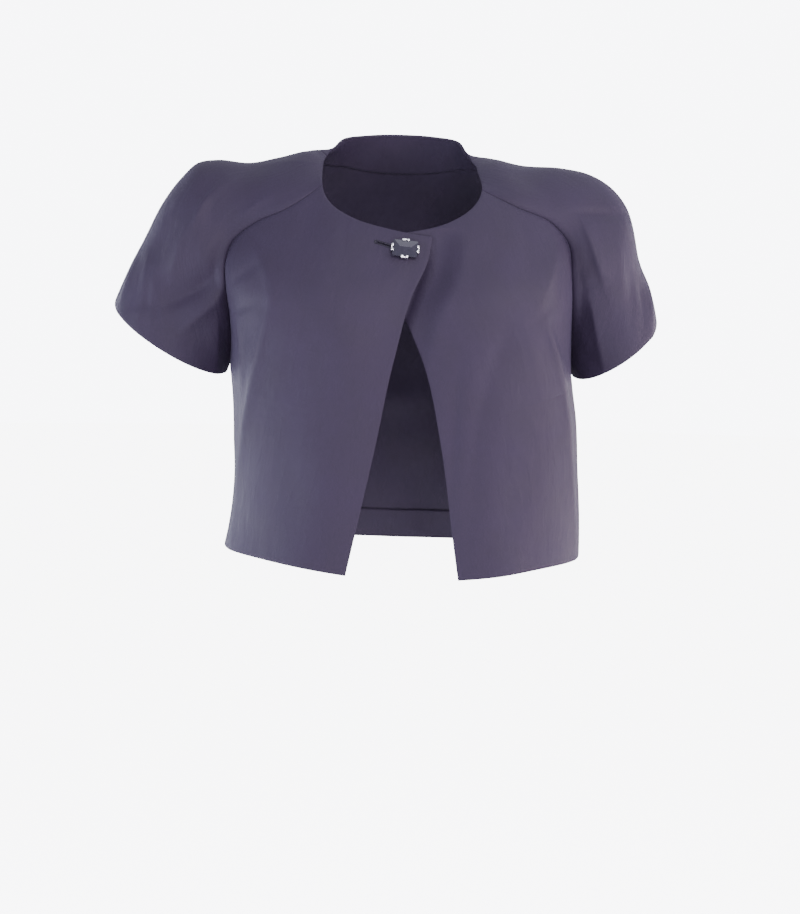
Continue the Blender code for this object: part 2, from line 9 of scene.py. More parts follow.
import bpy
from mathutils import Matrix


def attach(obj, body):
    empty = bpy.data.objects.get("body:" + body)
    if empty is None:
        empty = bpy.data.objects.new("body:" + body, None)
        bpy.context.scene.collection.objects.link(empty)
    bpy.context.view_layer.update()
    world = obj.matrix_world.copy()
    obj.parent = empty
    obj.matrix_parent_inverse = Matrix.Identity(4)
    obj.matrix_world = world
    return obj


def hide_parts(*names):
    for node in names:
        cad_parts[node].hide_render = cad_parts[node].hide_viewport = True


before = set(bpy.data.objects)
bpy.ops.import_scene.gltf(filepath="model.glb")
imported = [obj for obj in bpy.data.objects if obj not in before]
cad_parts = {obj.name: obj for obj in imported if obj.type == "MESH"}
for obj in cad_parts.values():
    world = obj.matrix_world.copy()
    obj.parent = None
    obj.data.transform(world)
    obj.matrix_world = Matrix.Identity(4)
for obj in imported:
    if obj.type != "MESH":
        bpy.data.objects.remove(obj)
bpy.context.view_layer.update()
print("solids:", ", ".join(sorted(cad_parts)))

# %% Bring in what the lesson needs
import math

import bmesh
import bpy
import numpy as np
from mathutils import Matrix, Vector
from mathutils.bvhtree import BVHTree

MM = 0.001
scene = bpy.context.scene

# %% [markdown]
# The camera
#
# The jacket was seen from the front through a long lens that stands a little above its neck and looks down at it.
# A camera at 2.6 m with a lens of about 105 mm gives the same outline, and a turn of one degree about its own axis
# gives the lean.

# %% Place the camera
DISTANCE, CAMERA_HEIGHT = 2.6, 0.05  # metres, from the middle of the neck opening
LOOKS_DOWN, LEAN = 7.4, 1.1  # degrees
LENS, SENSOR = 105.56, 36  # millimetres

camera = bpy.data.objects.new("camera", bpy.data.cameras.new("camera"))
camera.data.lens = LENS
camera.data.sensor_width = SENSOR
aim = Matrix.Rotation(math.radians(90 - LOOKS_DOWN), 4, "X") @ Matrix.Rotation(math.radians(LEAN), 4, "Z")
camera.matrix_world = Matrix.Translation((0, -DISTANCE, CAMERA_HEIGHT)) @ aim
scene.collection.objects.link(camera)
scene.camera = camera
print("camera at", [round(value, 2) for value in camera.matrix_world.translation])

# %% [markdown]
# Smooth lines
#
# A pattern maker draws every edge of a garment as a curve through a few marked points, and so does this lesson.
# A curve could be a Bezier object, but the points of the cloth are worked out as arrays, so a short function that
# runs a smooth line through the marks, and one that picks points along it, are simpler. All sizes are in mm.

# %% Lines through marks


def unit(vectors):
    """The same directions at length one."""
    return vectors / np.maximum(np.linalg.norm(vectors, axis=-1, keepdims=True), 1e-9)


def smooth(points, steps=24):
    """A smooth line through the points, with steps short chords between each two."""
    points = np.array(points, float)
    reach = np.concatenate([[0], np.cumsum(np.linalg.norm(np.diff(points, axis=0), axis=1))])
    slopes = np.gradient(points, reach, axis=0, edge_order=2)
    pieces = []
    for i in range(len(points) - 1):
        t = np.linspace(0, 1, steps, endpoint=False)[:, None]
        span = reach[i + 1] - reach[i]
        pieces.append(
            (1 + 2 * t) * (1 - t) ** 2 * points[i]
            + t * (1 - t) ** 2 * span * slopes[i]
            + t * t * (3 - 2 * t) * points[i + 1]
            - t * t * (1 - t) * span * slopes[i + 1]
        )
    return np.concatenate(pieces + [points[-1:]])


def pick(line, shares):
    """The points at these shares of a line's length."""
    reach = np.concatenate([[0], np.cumsum(np.linalg.norm(np.diff(line, axis=0), axis=1))])
    wanted = np.asarray(shares) * reach[-1]
    return np.stack([np.interp(wanted, reach, line[:, axis]) for axis in range(3)], axis=-1)


print("three marks give a smooth line of", len(smooth([(0, 0, 0), (10, 0, 5), (20, 0, 0)])), "points")

# %% [markdown]
# Tables, steps and shares
#
# Body measurements come as tables, with a few heights and what is measured at each. A smooth line through the rows
# gives the values in between, as it does for an edge. Two small helpers go with it: a soft step, which fades one
# shape into the next, and shares that crowd towards both ends of a row of points.

# %% Read tables and space points


def read_table(table, key):
    """The other columns of a table at any value of its first one, read from smooth lines through the rows."""
    table = np.array(table, float)
    if table[0, 0] > table[-1, 0]:
        table = table[::-1]
    keys, values = table[:, 0], table[:, 1:]
    slopes = np.gradient(values, keys, axis=0)
    key = np.clip(np.asarray(key, float), keys[0], keys[-1])
    low = np.clip(np.searchsorted(keys, key, side="right") - 1, 0, len(keys) - 2)
    span = keys[low + 1] - keys[low]
    t = ((key - keys[low]) / span)[..., None]
    span = span[..., None]
    read = (1 + 2 * t) * (1 - t) ** 2 * values[low] + t * (1 - t) ** 2 * span * slopes[low]
    read += t * t * (3 - 2 * t) * values[low + 1] - t * t * (1 - t) * span * slopes[low + 1]
    return np.moveaxis(read, -1, 0)


def ease(value, low, high):
    """0 at low, 1 at high, with soft ends."""
    t = np.clip((value - low) / (high - low), 0, 1)
    return t * t * (3 - 2 * t)


def closer_at_ends(count, pull=0.6):
    """Shares from 0 to 1 in count steps, shorter towards both ends, where seams and hems need them."""
    t = np.linspace(0, 1, count + 1)
    return t - pull * np.sin(2 * np.pi * t) / (2 * np.pi)


print("a step beside a seam is", round(float(closer_at_ends(90)[1] * 190), 2), "mm on a panel of 190 mm")

# %% [markdown]
# The body form
#
# A tailor shapes a jacket on a dress form. Here the form is a table of half widths and depths at each height, and
# its cross-section is a rounded oval between an ellipse and a box, which is how a bust and back look from above.
# The cloth lies on this form, so the same table that shaped the solids is used again.

# %% The form
SECTION_POWER = 2.4
FRONT, BEHIND = -1, 1
FORM = (
    # height, right, left, front, behind
    (30, 150, 148, 76, 70),
    (-25, 158, 154, 84, 88),
    (-70, 164, 158, 96, 102),
    (-125, 166, 159, 118, 107),
    (-190, 164, 157, 127, 104),
    (-250, 156, 166, 125, 96),
    (-320, 157, 171, 122, 93),
    (-390, 168, 177, 122, 96),
)


def form_radius(angle, height, facing):
    """How far the form reaches from its axis. angle is 0 at the middle of the front or the back."""
    right, left, front, behind = read_table(FORM, height)
    width = np.where(np.sin(angle) < 0, right, left)
    depth = front if facing == FRONT else behind
    across = (np.abs(np.sin(angle)) / width) ** SECTION_POWER
    through = (np.abs(np.cos(angle)) / depth) ** SECTION_POWER
    return (across + through) ** (-1 / SECTION_POWER)


right, left, front, behind = read_table(FORM, -125)
print("chest of the form:", round(float(right + left)), "mm wide,", round(float(front + behind)), "mm deep")

# %% [markdown]
# Panels on the form
#
# A place on the form is kept as an angle, a height and a share of the form's radius. A panel is filled in between
# its four edges by blending those three numbers, so it bulges as the form does. A blend of plain x, y and z would
# cut straight across the body.

# %% Lay a panel between its edges


def to_form(points, facing):
    """Angle, height and share of the form's radius, for each point."""
    x, y, z = np.moveaxis(points, -1, 0)
    angle = np.arctan2(x, facing * y)
    return np.stack([angle, z, np.hypot(x, y) / form_radius(angle, z, facing)], axis=-1)


def on_front_form(places):
    """Points on the front of the form, from their x and z."""
    x, z = np.moveaxis(np.array(places, float), -1, 0)
    right, left, depth, _ = read_table(FORM, z)
    width = np.where(x < 0, right, left)
    y = -depth * (1 - np.abs(x / width) ** SECTION_POWER) ** (1 / SECTION_POWER)
    return np.stack([x, y, z], axis=-1)


def from_form(values, facing):
    """The points that to_form would turn into these values."""
    angle, z, share = np.moveaxis(values, -1, 0)
    radius = share * form_radius(angle, z, facing)
    return np.stack([radius * np.sin(angle), facing * radius * np.cos(angle), z], axis=-1)


def lay_panel(top, bottom, first, last, across, down, facing, half=False):
    """A panel between four edges, rounded by the body form. half lets the mirrored half run on smoothly."""
    top, bottom, first, last = (to_form(line, facing) for line in (top, bottom, first, last))
    u = across[None, :, None] ** np.array((1, 2, 2) if half else (1, 1, 1))
    v = down[:, None, None]
    ruled = (1 - v) * top + v * bottom + (1 - u) * first[:, None] + u * last[:, None]
    corners = (1 - u) * ((1 - v) * top[0] + v * bottom[0]) + u * ((1 - v) * top[-1] + v * bottom[-1])
    return from_form(ruled - corners, facing)


print("front of the chest at y", round(float(on_front_form([(0, -125)])[0, 1])), "mm")

# %% [markdown]
# The cut lines
#
# Five pieces are cut: two fronts, a back and two sleeves. Raglan seams run from the neckline to the underarm, and
# side seams from there to the hem. Each line is a row of marks, x, y and z, taken from the worn jacket. The right
# and left sides differ a little, as cloth on a body always does.

# %% The marks of every edge
FRONT_EDGE = {
    # x and z alone, because y comes from the form
    "right": (
        (25.9, -67.6), (23.2, -87.1), (6.8, -125.5), (-8.2, -184.8),
        (-23.8, -265.5), (-36.6, -326.6), (-49.3, -386),
    ),
    "left": (
        (-27, -66), (-15, -100), (3.1, -143.6), (22, -190.3),
        (38.4, -264.3), (50.1, -345.2), (56.6, -388.6),
    ),
}
NECK_FRONT = {
    "right": ((-78.6, -52, -22), (-70.9, -68, -37.7), (-47, -84, -52.1), (-17.6, -91, -60.4)),
    "left": ((72.6, -54, -24.5), (63.5, -75, -40.7), (42.2, -87, -54.2), (17.2, -91, -61.6)),
}
NECK_BACK = (
    (-76.5, 8, 4), (-69.2, 30, 13.4), (-62, 45, 20.1), (-36, 62, 24), (-4, 68, 25),
    (28, 62, 23.5), (52.1, 45, 19.1), (58.5, 28, 11), (63.5, 8, 2.4),
)
RAGLAN_FRONT = {
    "right": (
        (-78.6, -52, -22), (-112.2, -61, -45.5), (-141.6, -56, -59.1), (-163.3, -52, -78.2),
        (-169.7, -54, -99.9), (-169, -54, -117.4), (-164.9, -35, -152), (-163.9, 0, -189.6),
    ),
    "left": (
        (72.6, -54, -24.5), (104.9, -62, -39.3), (140.8, -57, -55.5), (155.2, -54, -72),
        (160, -55, -104), (161, -52, -124), (161.4, -32, -153), (157.5, 0, -188.3),
    ),
}
RAGLAN_BACK = {
    "right": (
        (-76.5, 8, 4), (-84, 19, 8.5), (-108, 48, 0), (-136, 68, -22),
        (-157, 74, -58), (-166, 64, -102), (-167, 38, -150), (-163.9, 0, -189.6),
    ),
    "left": (
        (63.5, 8, 2.4), (72.3, 19, 4.6), (98, 48, -3), (128, 68, -25),
        (148, 74, -60), (158, 64, -103), (161, 38, -150), (157.5, 0, -188.3),
    ),
}
SIDE_SEAM = {
    "right": (
        (-163.9, 0, -189.6), (-159.2, 0, -237.6), (-155.5, 0, -283), (-158.4, 0, -330), (-169, 0, -375.5),
    ),
    "left": (
        (157.5, 0, -188.3), (159.2, 0, -206), (164, 0, -238),
        (168, 0, -283), (172.6, 0, -330), (176.3, 0, -381.4),
    ),
}
HEM_FRONT = {
    "right": ((-90, -115, -380.4), (-130, -88, -376.6), (-161, -45, -375.5), (-169, 0, -375.5)),
    "left": ((93.2, -117, -385), (135, -90, -381), (165, -48, -380.4), (176.3, 0, -381.4)),
}
HEM_BACK = (
    (-169, 0, -375.5), (-140, 62, -377), (-72, 90, -380), (4, 96, -382),
    (80, 90, -382), (148, 62, -382), (176.3, 0, -381.4),
)
CENTRE_BACK = (
    (-4, 68, 25), (-4, 84, -12), (-3, 101, -68), (-2, 107, -130),
    (-1, 103, -200), (1, 95, -290), (4, 96, -382),
)
RIDGE = {
    "right": (
        (-78.7, -14, -2.8), (-93.1, 4, 7), (-122.2, 10, 0.9), (-150.7, 12, -4.7), (-183.3, 11, -2.3),
        (-200.8, 10, -4.9), (-216.7, 8, -19.6), (-234.7, 6, -44.9), (-251.2, 4, -79), (-269.6, 1, -114.8),
        (-280.2, 0, -140.1),
    ),
    "left": (
        (68.2, -14, -4.7), (85.4, 4, 2.9), (111, 10, -2.3), (152.2, 12, -4.3), (178.9, 11, -10.2),
        (200.1, 10, -22.3), (216.2, 8, -42.6), (223.6, 6, -67.6), (228.6, 4, -96), (240.6, 1, -124.1),
        (246.8, 0, -150),
    ),
}
RIDGE_AT_UNDERARM = 0.905  # the share of the ridge that lies above the underarm
CUFF_SEAM_END = {"right": (-169.8, 2, -206.9), "left": (166, 2, -205)}
for side in ("right", "left"):
    seam = smooth(RAGLAN_FRONT[side])
    print(side, "raglan seam:", round(float(np.linalg.norm(np.diff(seam, axis=0), axis=1).sum())), "mm long")

# %% [markdown]
# The back
#
# The back is one piece, cut on the fold. It is laid as two halves, because a line down the centre back then shapes
# its middle too, and each half leaves that line so that the two run on into each other smoothly. The points stand
# closest together beside the seams, the hem and the neckline, where the finest shapes are.

# %% Lay the back on the form
CAP_ROWS, SIDE_ROWS, CUFF_ROWS = 104, 74, 30
CAP_PART = 16 / 28  # the share of a panel's height that its raglan seam takes
ROW_PULL = 0.5
FRONT_COLUMNS, BACK_COLUMNS, SLEEVE_COLUMNS = 116, 190, 160

cap_shares = closer_at_ends(CAP_ROWS, ROW_PULL)
side_shares = closer_at_ends(SIDE_ROWS, ROW_PULL)
down_shares = np.concatenate([cap_shares * CAP_PART, CAP_PART + side_shares[1:] * (1 - CAP_PART)])


def outer_edge(raglan, side_seam):
    """A panel's long edge: its raglan seam, then its side seam."""
    return np.concatenate([pick(smooth(raglan), cap_shares), pick(smooth(side_seam), side_shares)[1:]])


def back_grid():
    """The back, with columns from the wearer's right to the left."""
    across = closer_at_ends(BACK_COLUMNS)
    middle = BACK_COLUMNS // 2
    out_from_middle = 2 * across[middle:] - 1
    top, bottom = pick(smooth(NECK_BACK), across), pick(smooth(HEM_BACK), across)
    centre = pick(smooth((top[middle], *CENTRE_BACK[1:-1], bottom[middle])), down_shares)
    halves = []
    for side, columns in (("right", slice(middle, None, -1)), ("left", slice(middle, None))):
        seams = outer_edge(RAGLAN_BACK[side], SIDE_SEAM[side])
        edges = top[columns], bottom[columns], centre, seams
        halves.append(lay_panel(*edges, out_from_middle, down_shares, BEHIND, half=True))
    return np.concatenate([halves[0][:, ::-1], halves[1][:, 1:]], axis=1)


grids = {"back": back_grid()}
print("the back has", grids["back"].shape[0], "rows of", grids["back"].shape[1], "points")

# %% [markdown]
# The two fronts
#
# Each front runs from its open edge to the raglan and side seams. The over front lies on the form, and the under
# front is moved in behind it where they lap, by the thickness of the cloth and some air. The move fades out away
# from the lap, so the under front swings back to the form without a step.

# %% Lay the fronts on the form
LAP_ROWS = CAP_ROWS + 10
LAP_RISE, LAP_FADE, LAP_BLUR = 4.2, (8, 34), 7  # mm


def front_grid(side):
    """One front, with rows from the neckline to the hem and columns from the front edge to the seams."""
    edge = on_front_form(FRONT_EDGE[side])
    across = closer_at_ends(FRONT_COLUMNS)
    top = pick(smooth([*NECK_FRONT[side], edge[0]])[::-1], across)
    bottom = pick(smooth([edge[-1], *HEM_FRONT[side]]), across)
    seams = outer_edge(RAGLAN_FRONT[side], SIDE_SEAM[side])
    return lay_panel(top, bottom, pick(smooth(edge), down_shares), seams, across, down_shares, FRONT)


def tuck_under(under, over):
    """The under front, moved in behind the over front where they lap."""
    near = over[:LAP_ROWS:2, : FRONT_COLUMNS // 2 : 2].reshape(-1, 3)
    apart = np.linalg.norm(under[..., None, (0, 2)] - near[:, (0, 2)], axis=-1)
    nearest = apart.min(axis=-1)
    weight = np.exp(-(apart**2 - nearest[..., None] ** 2) / LAP_BLUR**2)
    cover = (weight * near[:, 1]).sum(axis=-1) / weight.sum(axis=-1)
    tucked = under.copy()
    tucked[..., 1] += (1 - ease(nearest, *LAP_FADE)) * np.maximum(0, cover + LAP_RISE - under[..., 1])
    return tucked


grids["front_right"] = front_grid("right")
grids["front_left"] = tuck_under(front_grid("left"), grids["front_right"])
print("a front has", grids["front_right"].shape[0], "rows of", grids["front_right"].shape[1], "points")

# %% [markdown]
# The sleeves
#
# A raglan sleeve has no seam over the shoulder, so each one is a single sheet that leaves the front raglan seam,
# passes over the ridge that shows as the shoulder's outline, and comes down to the back raglan seam. Below the
# underarm both ends meet in the sleeve's own seam. Every row is two bent curves, and a table says how far each
# is pulled as it leaves the seam and as it comes to the ridge.

# %% How far the curves are pulled
ROUND_FRONT = (
    # share, out, round and up at the seam, round and up at the ridge
    (0.00, 1, -12, 8, 12, -5),
    (0.15, 2, -6, 20, 30, -3),
    (0.30, 3, 0, 24, 36, -2),
    (0.45, 14, 8, 32, 40, -2),
    (0.60, 26, 16, 22, 54, -4),
    (0.75, 26, 34, 6, 66, -6),
    (0.90, 18, 56, -2, 72, -8),
    (1.00, 14, 70, -6, 76, -10),
    (1.10, 9, 77, -9, 78, -16),
)
ROUND_BACK = (
    # share, out, round and up at the seam, round and up at the ridge
    (0.00, 0, -6, -2, 8, 3),
    (0.15, 1, -12, 2, 14, 1),
    (0.30, 6, -12, 12, 26, 1),
    (0.45, 16, 6, 24, 40, 2),
    (0.60, 26, 16, 22, 54, 4),
    (0.75, 26, 34, 8, 66, 6),
    (0.90, 18, 56, 2, 72, 8),
    (1.00, 14, 70, 2, 76, 10),
    (1.10, 9, 77, 2, 78, 12),
)
CUFF_SHARE = 0.1  # how far past the underarm, at share 1, the hem part reads these tables

print("rows in the sleeve tables:", len(ROUND_FRONT), "and", len(ROUND_BACK))

# %% [markdown]
# Bending the cloth over the ridge
#
# A curve with two handles, the kind that a Bezier object draws, joins each seam to the ridge. Where the wide upper
# sleeve turns into its hem part the rows would show a corner, so that turn is blurred, as the stiffness of real
# cloth would round it.

# %% Bend the sleeves over their ridge
OUTWARD = {"right": -1, "left": 1}
BEND_STEPS = 64
CUFF_BLUR, CUFF_BLUR_ROWS, CUFF_BLUR_STEPS, CUFF_HEM_ROWS = 0.25, 18, 270, 6


def bend(start, pull, end, end_pull):
    """A curve from start to end that leaves along pull and comes in from end_pull."""
    t = np.linspace(0, 1, BEND_STEPS + 1)[:, None]
    return (
        (1 - t) ** 3 * start
        + 3 * t * (1 - t) ** 2 * (start + pull)
        + 3 * t * t * (1 - t) * (end + end_pull)
        + t**3 * end
    )


def sleeve_grid(side):
    """One sleeve, with a row from seam to seam over the ridge for each step from the neckline to the hem."""
    ridge = smooth(RIDGE[side])
    cuff_end = np.array(CUFF_SEAM_END[side], float)
    seams = {FRONT: smooth(RAGLAN_FRONT[side]), BEHIND: smooth(RAGLAN_BACK[side])}
    across = closer_at_ends(SLEEVE_COLUMNS)
    cuff_shares = closer_at_ends(CUFF_ROWS, ROW_PULL)[1:]
    places = [(share, 0) for share in cap_shares] + [(1, share) for share in cuff_shares]
    rows = []
    for on_cap, on_cuff in places:
        top = pick(ridge, [on_cap * RIDGE_AT_UNDERARM + on_cuff * (1 - RIDGE_AT_UNDERARM)])[0]
        halves = []
        for facing, table in ((FRONT, ROUND_FRONT), (BEHIND, ROUND_BACK)):
            seam = pick(seams[facing], [on_cap])[0]
            seam = seam + (cuff_end - seam) * on_cuff
            pulls = read_table(table, on_cap + on_cuff * CUFF_SHARE)
            seam_pull = pulls[:3] * (OUTWARD[side], facing, 1)
            ridge_pull = np.array([0, facing * pulls[3], pulls[4]])
            halves.append(bend(seam, seam_pull, top, ridge_pull))
        rows.append(pick(np.concatenate([halves[0], halves[1][::-1][1:]]), across))
    return ease_into_cuff(np.array(rows))


def ease_into_cuff(grid):
    """Smooths the turn from the cap to the hem part of a sleeve, but leaves its seams where they are."""
    rows = np.arange(grid.shape[0])[:, None, None]
    near_turn = np.exp(-(((rows - CAP_ROWS) / CUFF_BLUR_ROWS) ** 2))
    near_turn = near_turn * ease(grid.shape[0] - 1 - rows, 0, CUFF_HEM_ROWS)
    inside = np.sin(np.pi * closer_at_ends(SLEEVE_COLUMNS))[None, :, None] ** 0.5
    for _ in range(CUFF_BLUR_STEPS):
        curve = np.zeros(grid.shape)
        curve[1:-1] = grid[2:] + grid[:-2] - 2 * grid[1:-1]
        grid = grid + CUFF_BLUR * curve * near_turn * inside
    return grid


for side in ("right", "left"):
    grids["sleeve_" + side] = sleeve_grid(side)
    print(side, "sleeve:", grids["sleeve_" + side].shape[:2])

# %% [markdown]
# Creases
#
# Satin is crisp: it hangs in planes that meet in soft ridges, with small dents near the seams. A cloth simulation
# would put its own creases in other places, so each is listed, as a line through three marks with a rise,
# and with its own half width on either hand of the walk from start to end, which makes it steep on one side. A
# low last number gives a pressed edge and a high one a soft roll. The back gets creases of the same kind.

# %% The creases of each piece
CREASES = {
    # x and z of the start, middle and end, rise, half width on the left hand, on the right hand, softness
    "front_right": (
        ((-124, -128), (-142, -240), (-164, -398), 8.0, 27, 15, 1.2),
        ((-123, -126), (-138, -226), (-162, -398), 2.2, 3.2, 2.4, 1.1),
        ((-158, -136), (-150, -189), (-143, -252), 2.2, 5, 3.6, 1.1),
        ((-151, -150), (-145, -190), (-142, -236), -1.0, 3.5, 3.5, 1.6),
        ((-157, -258), (-159, -300), (-162, -352), 0.9, 2.6, 2.6, 1.4),
        ((-152, -262), (-157, -310), (-163, -360), -0.8, 2.6, 2.6, 1.4),
        ((-143, -80), (-126, -110), (-123, -144), 3.4, 10, 6, 1.4),
        ((-164, -116), (-149, -105), (-132, -95), -1.4, 5, 4, 1.6),
        ((-164, -144), (-150, -138), (-138, -131), -1.3, 4, 4, 1.6),
        ((-150, -60), (-138, -74), (-122, -80), -0.7, 5, 6, 1.6),
        ((-86, -34), (-92, -62), (-104, -92), -1.0, 9, 12, 2.0),
        ((-74, -40), (-66, -72), (-70, -104), 0.7, 8, 11, 2.0),
        ((-95, -96), (-62, -150), (-40, -235), 1.6, 22, 22, 2.0),
        ((-112, -250), (-98, -310), (-96, -372), -1.4, 18, 18, 2.0),
        ((-60, -260), (-66, -310), (-60, -366), 0.8, 16, 14, 2.0),
        ((-40, -92), (-22, -96), (-4, -98), -0.7, 9, 9, 2.0),
        ((25, -92), (8, -136), (-10, -192), 2.4, 9, 9, 1.6),
    ),
    "front_left": (
        ((135, -142), (151, -240), (173, -396), 8.0, 15, 27, 1.2),
        ((134, -140), (150, -236), (172, -396), 2.0, 2.4, 3.2, 1.1),
        ((140, -158), (151, -220), (164, -312), 1.7, 3, 3, 1.1),
        ((132, -148), (144, -180), (151, -214), 1.1, 2.8, 2.8, 1.2),
        ((144, -66), (140, -95), (131, -124), 3.0, 5, 8, 1.3),
        ((152, -88), (150, -112), (145, -140), -1.4, 4, 5, 1.6),
        ((144, -124), (132, -136), (114, -152), -1.0, 5, 5, 1.6),
        ((104, -52), (114, -66), (120, -84), -0.8, 5, 5, 1.6),
        ((158, -250), (162, -290), (168, -340), -0.9, 2.6, 2.6, 1.4),
        ((112, -60), (116, -88), (110, -118), -0.9, 12, 13, 2.0),
        ((92, -88), (76, -150), (58, -235), 1.6, 22, 22, 2.0),
        ((106, -138), (74, -231), (68, -350), -2.2, 11, 11, 1.8),
        ((23, -86), (9, -122), (-16, -194), -7.0, 6.5, 8, 1.4),
        ((54, -178), (50, -246), (49, -330), -2.2, 7, 9, 1.7),
        ((112, -262), (104, -320), (106, -376), -1.2, 18, 18, 2.0),
        ((24, -92), (40, -112), (62, -126), -0.7, 9, 11, 2.0),
    ),
    "back": (
        ((-132, -150), (-112, -225), (-104, -330), 5.0, 17, 19, 1.8),
        ((131, -160), (118, -240), (112, -340), 5.0, 19, 17, 1.8),
        ((-52, -215), (-12, -240), (34, -228), -3.0, 16, 16, 2.0),
        ((-70, -60), (-50, -150), (-52, -300), 2.2, 24, 24, 2.0),
        ((66, -70), (52, -160), (50, -310), 2.2, 24, 24, 2.0),
        ((-150, -70), (-128, -96), (-98, -112), -2.2, 9, 11, 1.8),
        ((146, -74), (122, -98), (92, -110), -2.2, 11, 9, 1.8),
        ((-154, -118), (-138, -136), (-112, -148), 1.8, 8, 10, 1.6),
        ((152, -122), (136, -140), (110, -154), 1.8, 10, 8, 1.6),
        ((-150, -236), (-126, -246), (-96, -242), -1.6, 9, 9, 2.0),
        ((154, -242), (128, -250), (100, -244), -1.6, 9, 9, 2.0),
        ((-20, -20), (-14, -60), (-16, -110), 1.2, 14, 16, 2.0),
        ((28, -24), (24, -64), (28, -118), 1.1, 16, 14, 2.0),
        ((-60, -310), (-54, -342), (-58, -376), 2.0, 14, 16, 2.0),
        ((16, -300), (22, -340), (18, -378), 1.8, 16, 14, 2.0),
    ),
    "sleeve_right": (
        ((-142, -7), (-109, -2), (-78, -4), 0.8, 2.8, 2.8, 1.3),
        ((-116, -27), (-140, -42), (-158, -60), 1.7, 5, 4, 1.3),
        ((-120, 2), (-146, -12), (-166, -30), -1.0, 8, 8, 2.0),
        ((-170, -22), (-190, -42), (-199, -66), 5.2, 9, 5, 1.3),
        ((-197, -55), (-213, -80), (-221, -114), 2.0, 6, 4, 1.4),
        ((-182, -20), (-186, -44), (-182, -66), -2.0, 8, 8, 2.0),
        ((-165, -97), (-194, -123), (-236, -140), -9.5, 9, 20, 1.7),
        ((-166, -124), (-188, -142), (-216, -168), 5.4, 8, 7, 1.3),
        ((-176, -70), (-186, -84), (-198, -96), 1.0, 6, 6, 1.6),
        ((-216, -56), (-231, -78), (-242, -104), -2.8, 8, 7, 1.6),
        ((-256, -92), (-264, -117), (-275, -150), 2.8, 3.4, 3.6, 1.2),
        ((-245, -92), (-249, -126), (-255, -166), 1.9, 3, 3, 1.2),
        ((-237, -100), (-239, -131), (-239, -168), 1.5, 3, 3, 1.3),
        ((-228, -116), (-230, -139), (-228, -178), 0.7, 3, 3, 1.3),
        ((-178, -140), (-178, -178), (-182, -222), 2.2, 3.5, 8, 1.2),
        ((-167, -160), (-169, -184), (-173, -214), -1.6, 4, 4, 1.6),
    ),
    "sleeve_left": (
        ((88, -6), (120, -6), (154, -7), 0.8, 2.8, 2.8, 1.3),
        ((74, -26), (114, -43), (155, -68), 2.9, 4, 6, 1.2),
        ((98, -6), (126, -22), (150, -38), -1.0, 8, 8, 2.0),
        ((158, -45), (184, -44), (214, -47), -4.0, 4, 7, 1.2),
        ((167, -48), (180, -82), (191, -116), 4.2, 12, 4, 1.2),
        ((168, -118), (178, -113), (190, -107), -1.2, 4, 4, 1.6),
        ((177, -124), (185, -154), (195, -204), 4.2, 10, 5, 1.2),
        ((203, -70), (206, -96), (211, -128), 1.5, 5, 5, 1.6),
        ((213, -96), (217, -120), (217, -160), -0.7, 4, 4, 1.6),
        ((230, -96), (237, -128), (239, -172), 3.0, 3.4, 3.4, 1.2),
        ((224, -108), (230, -134), (230, -166), -1.6, 3, 3, 1.4),
        ((164, -96), (168, -124), (170, -150), -1.4, 6, 6, 2.0),
        ((163, -160), (172, -178), (186, -192), -1.2, 7, 7, 2.0),
        ((120, 4), (160, -8), (190, -22), 1.0, 7, 7, 2.0),
    ),
    "sleeve_right_behind": (
        ((-168, -40), (-200, -60), (-226, -96), 3.5, 10, 9, 1.5),
        ((-178, -110), (-204, -130), (-236, -140), -4.0, 10, 10, 1.8),
        ((-172, -150), (-196, -164), (-222, -168), 3.0, 8, 7, 1.4),
        ((-244, -84), (-252, -108), (-262, -136), 2.0, 6, 7, 1.4),
        ((-126, -8), (-150, -24), (-170, -44), -1.6, 9, 9, 2.0),
    ),
    "sleeve_left_behind": (
        ((160, -40), (184, -62), (204, -98), 3.5, 9, 10, 1.5),
        ((168, -112), (190, -134), (216, -146), -4.0, 10, 10, 1.8),
        ((166, -152), (184, -168), (206, -176), 3.0, 7, 8, 1.4),
        ((216, -88), (222, -114), (232, -142), 2.0, 7, 6, 1.4),
        ((116, -10), (142, -26), (162, -48), -1.6, 9, 9, 2.0),
    ),
}
print("creases drawn by hand:", sum(len(creases) for creases in CREASES.values()))

# %% [markdown]
# How a crease lifts the cloth
#
# For every point of a piece, the nearest spot on the line of each crease is found as it would be seen from the
# front. The lift is largest on the line, falls off to either hand, and tapers towards the two ends, as it does on
# a real fold.

# %% Lift the cloth along its creases
CREASE_ENDS = (0.04, 0.96)
CREASE_TAPER = 0.7
CREASE_STEPS = 24
CREASE_ROUND = 0.6
CREASE_SIDES = 2


def crease_path(start, middle, end):
    """The line of a crease, as points on a curve through its three marks."""
    start, middle, end = np.array((start, middle, end), float)
    t = np.linspace(0, 1, CREASE_STEPS + 1)[:, None]
    turn = 2 * middle - (start + end) / 2
    return (1 - t) ** 2 * start + 2 * t * (1 - t) * turn + t * t * end


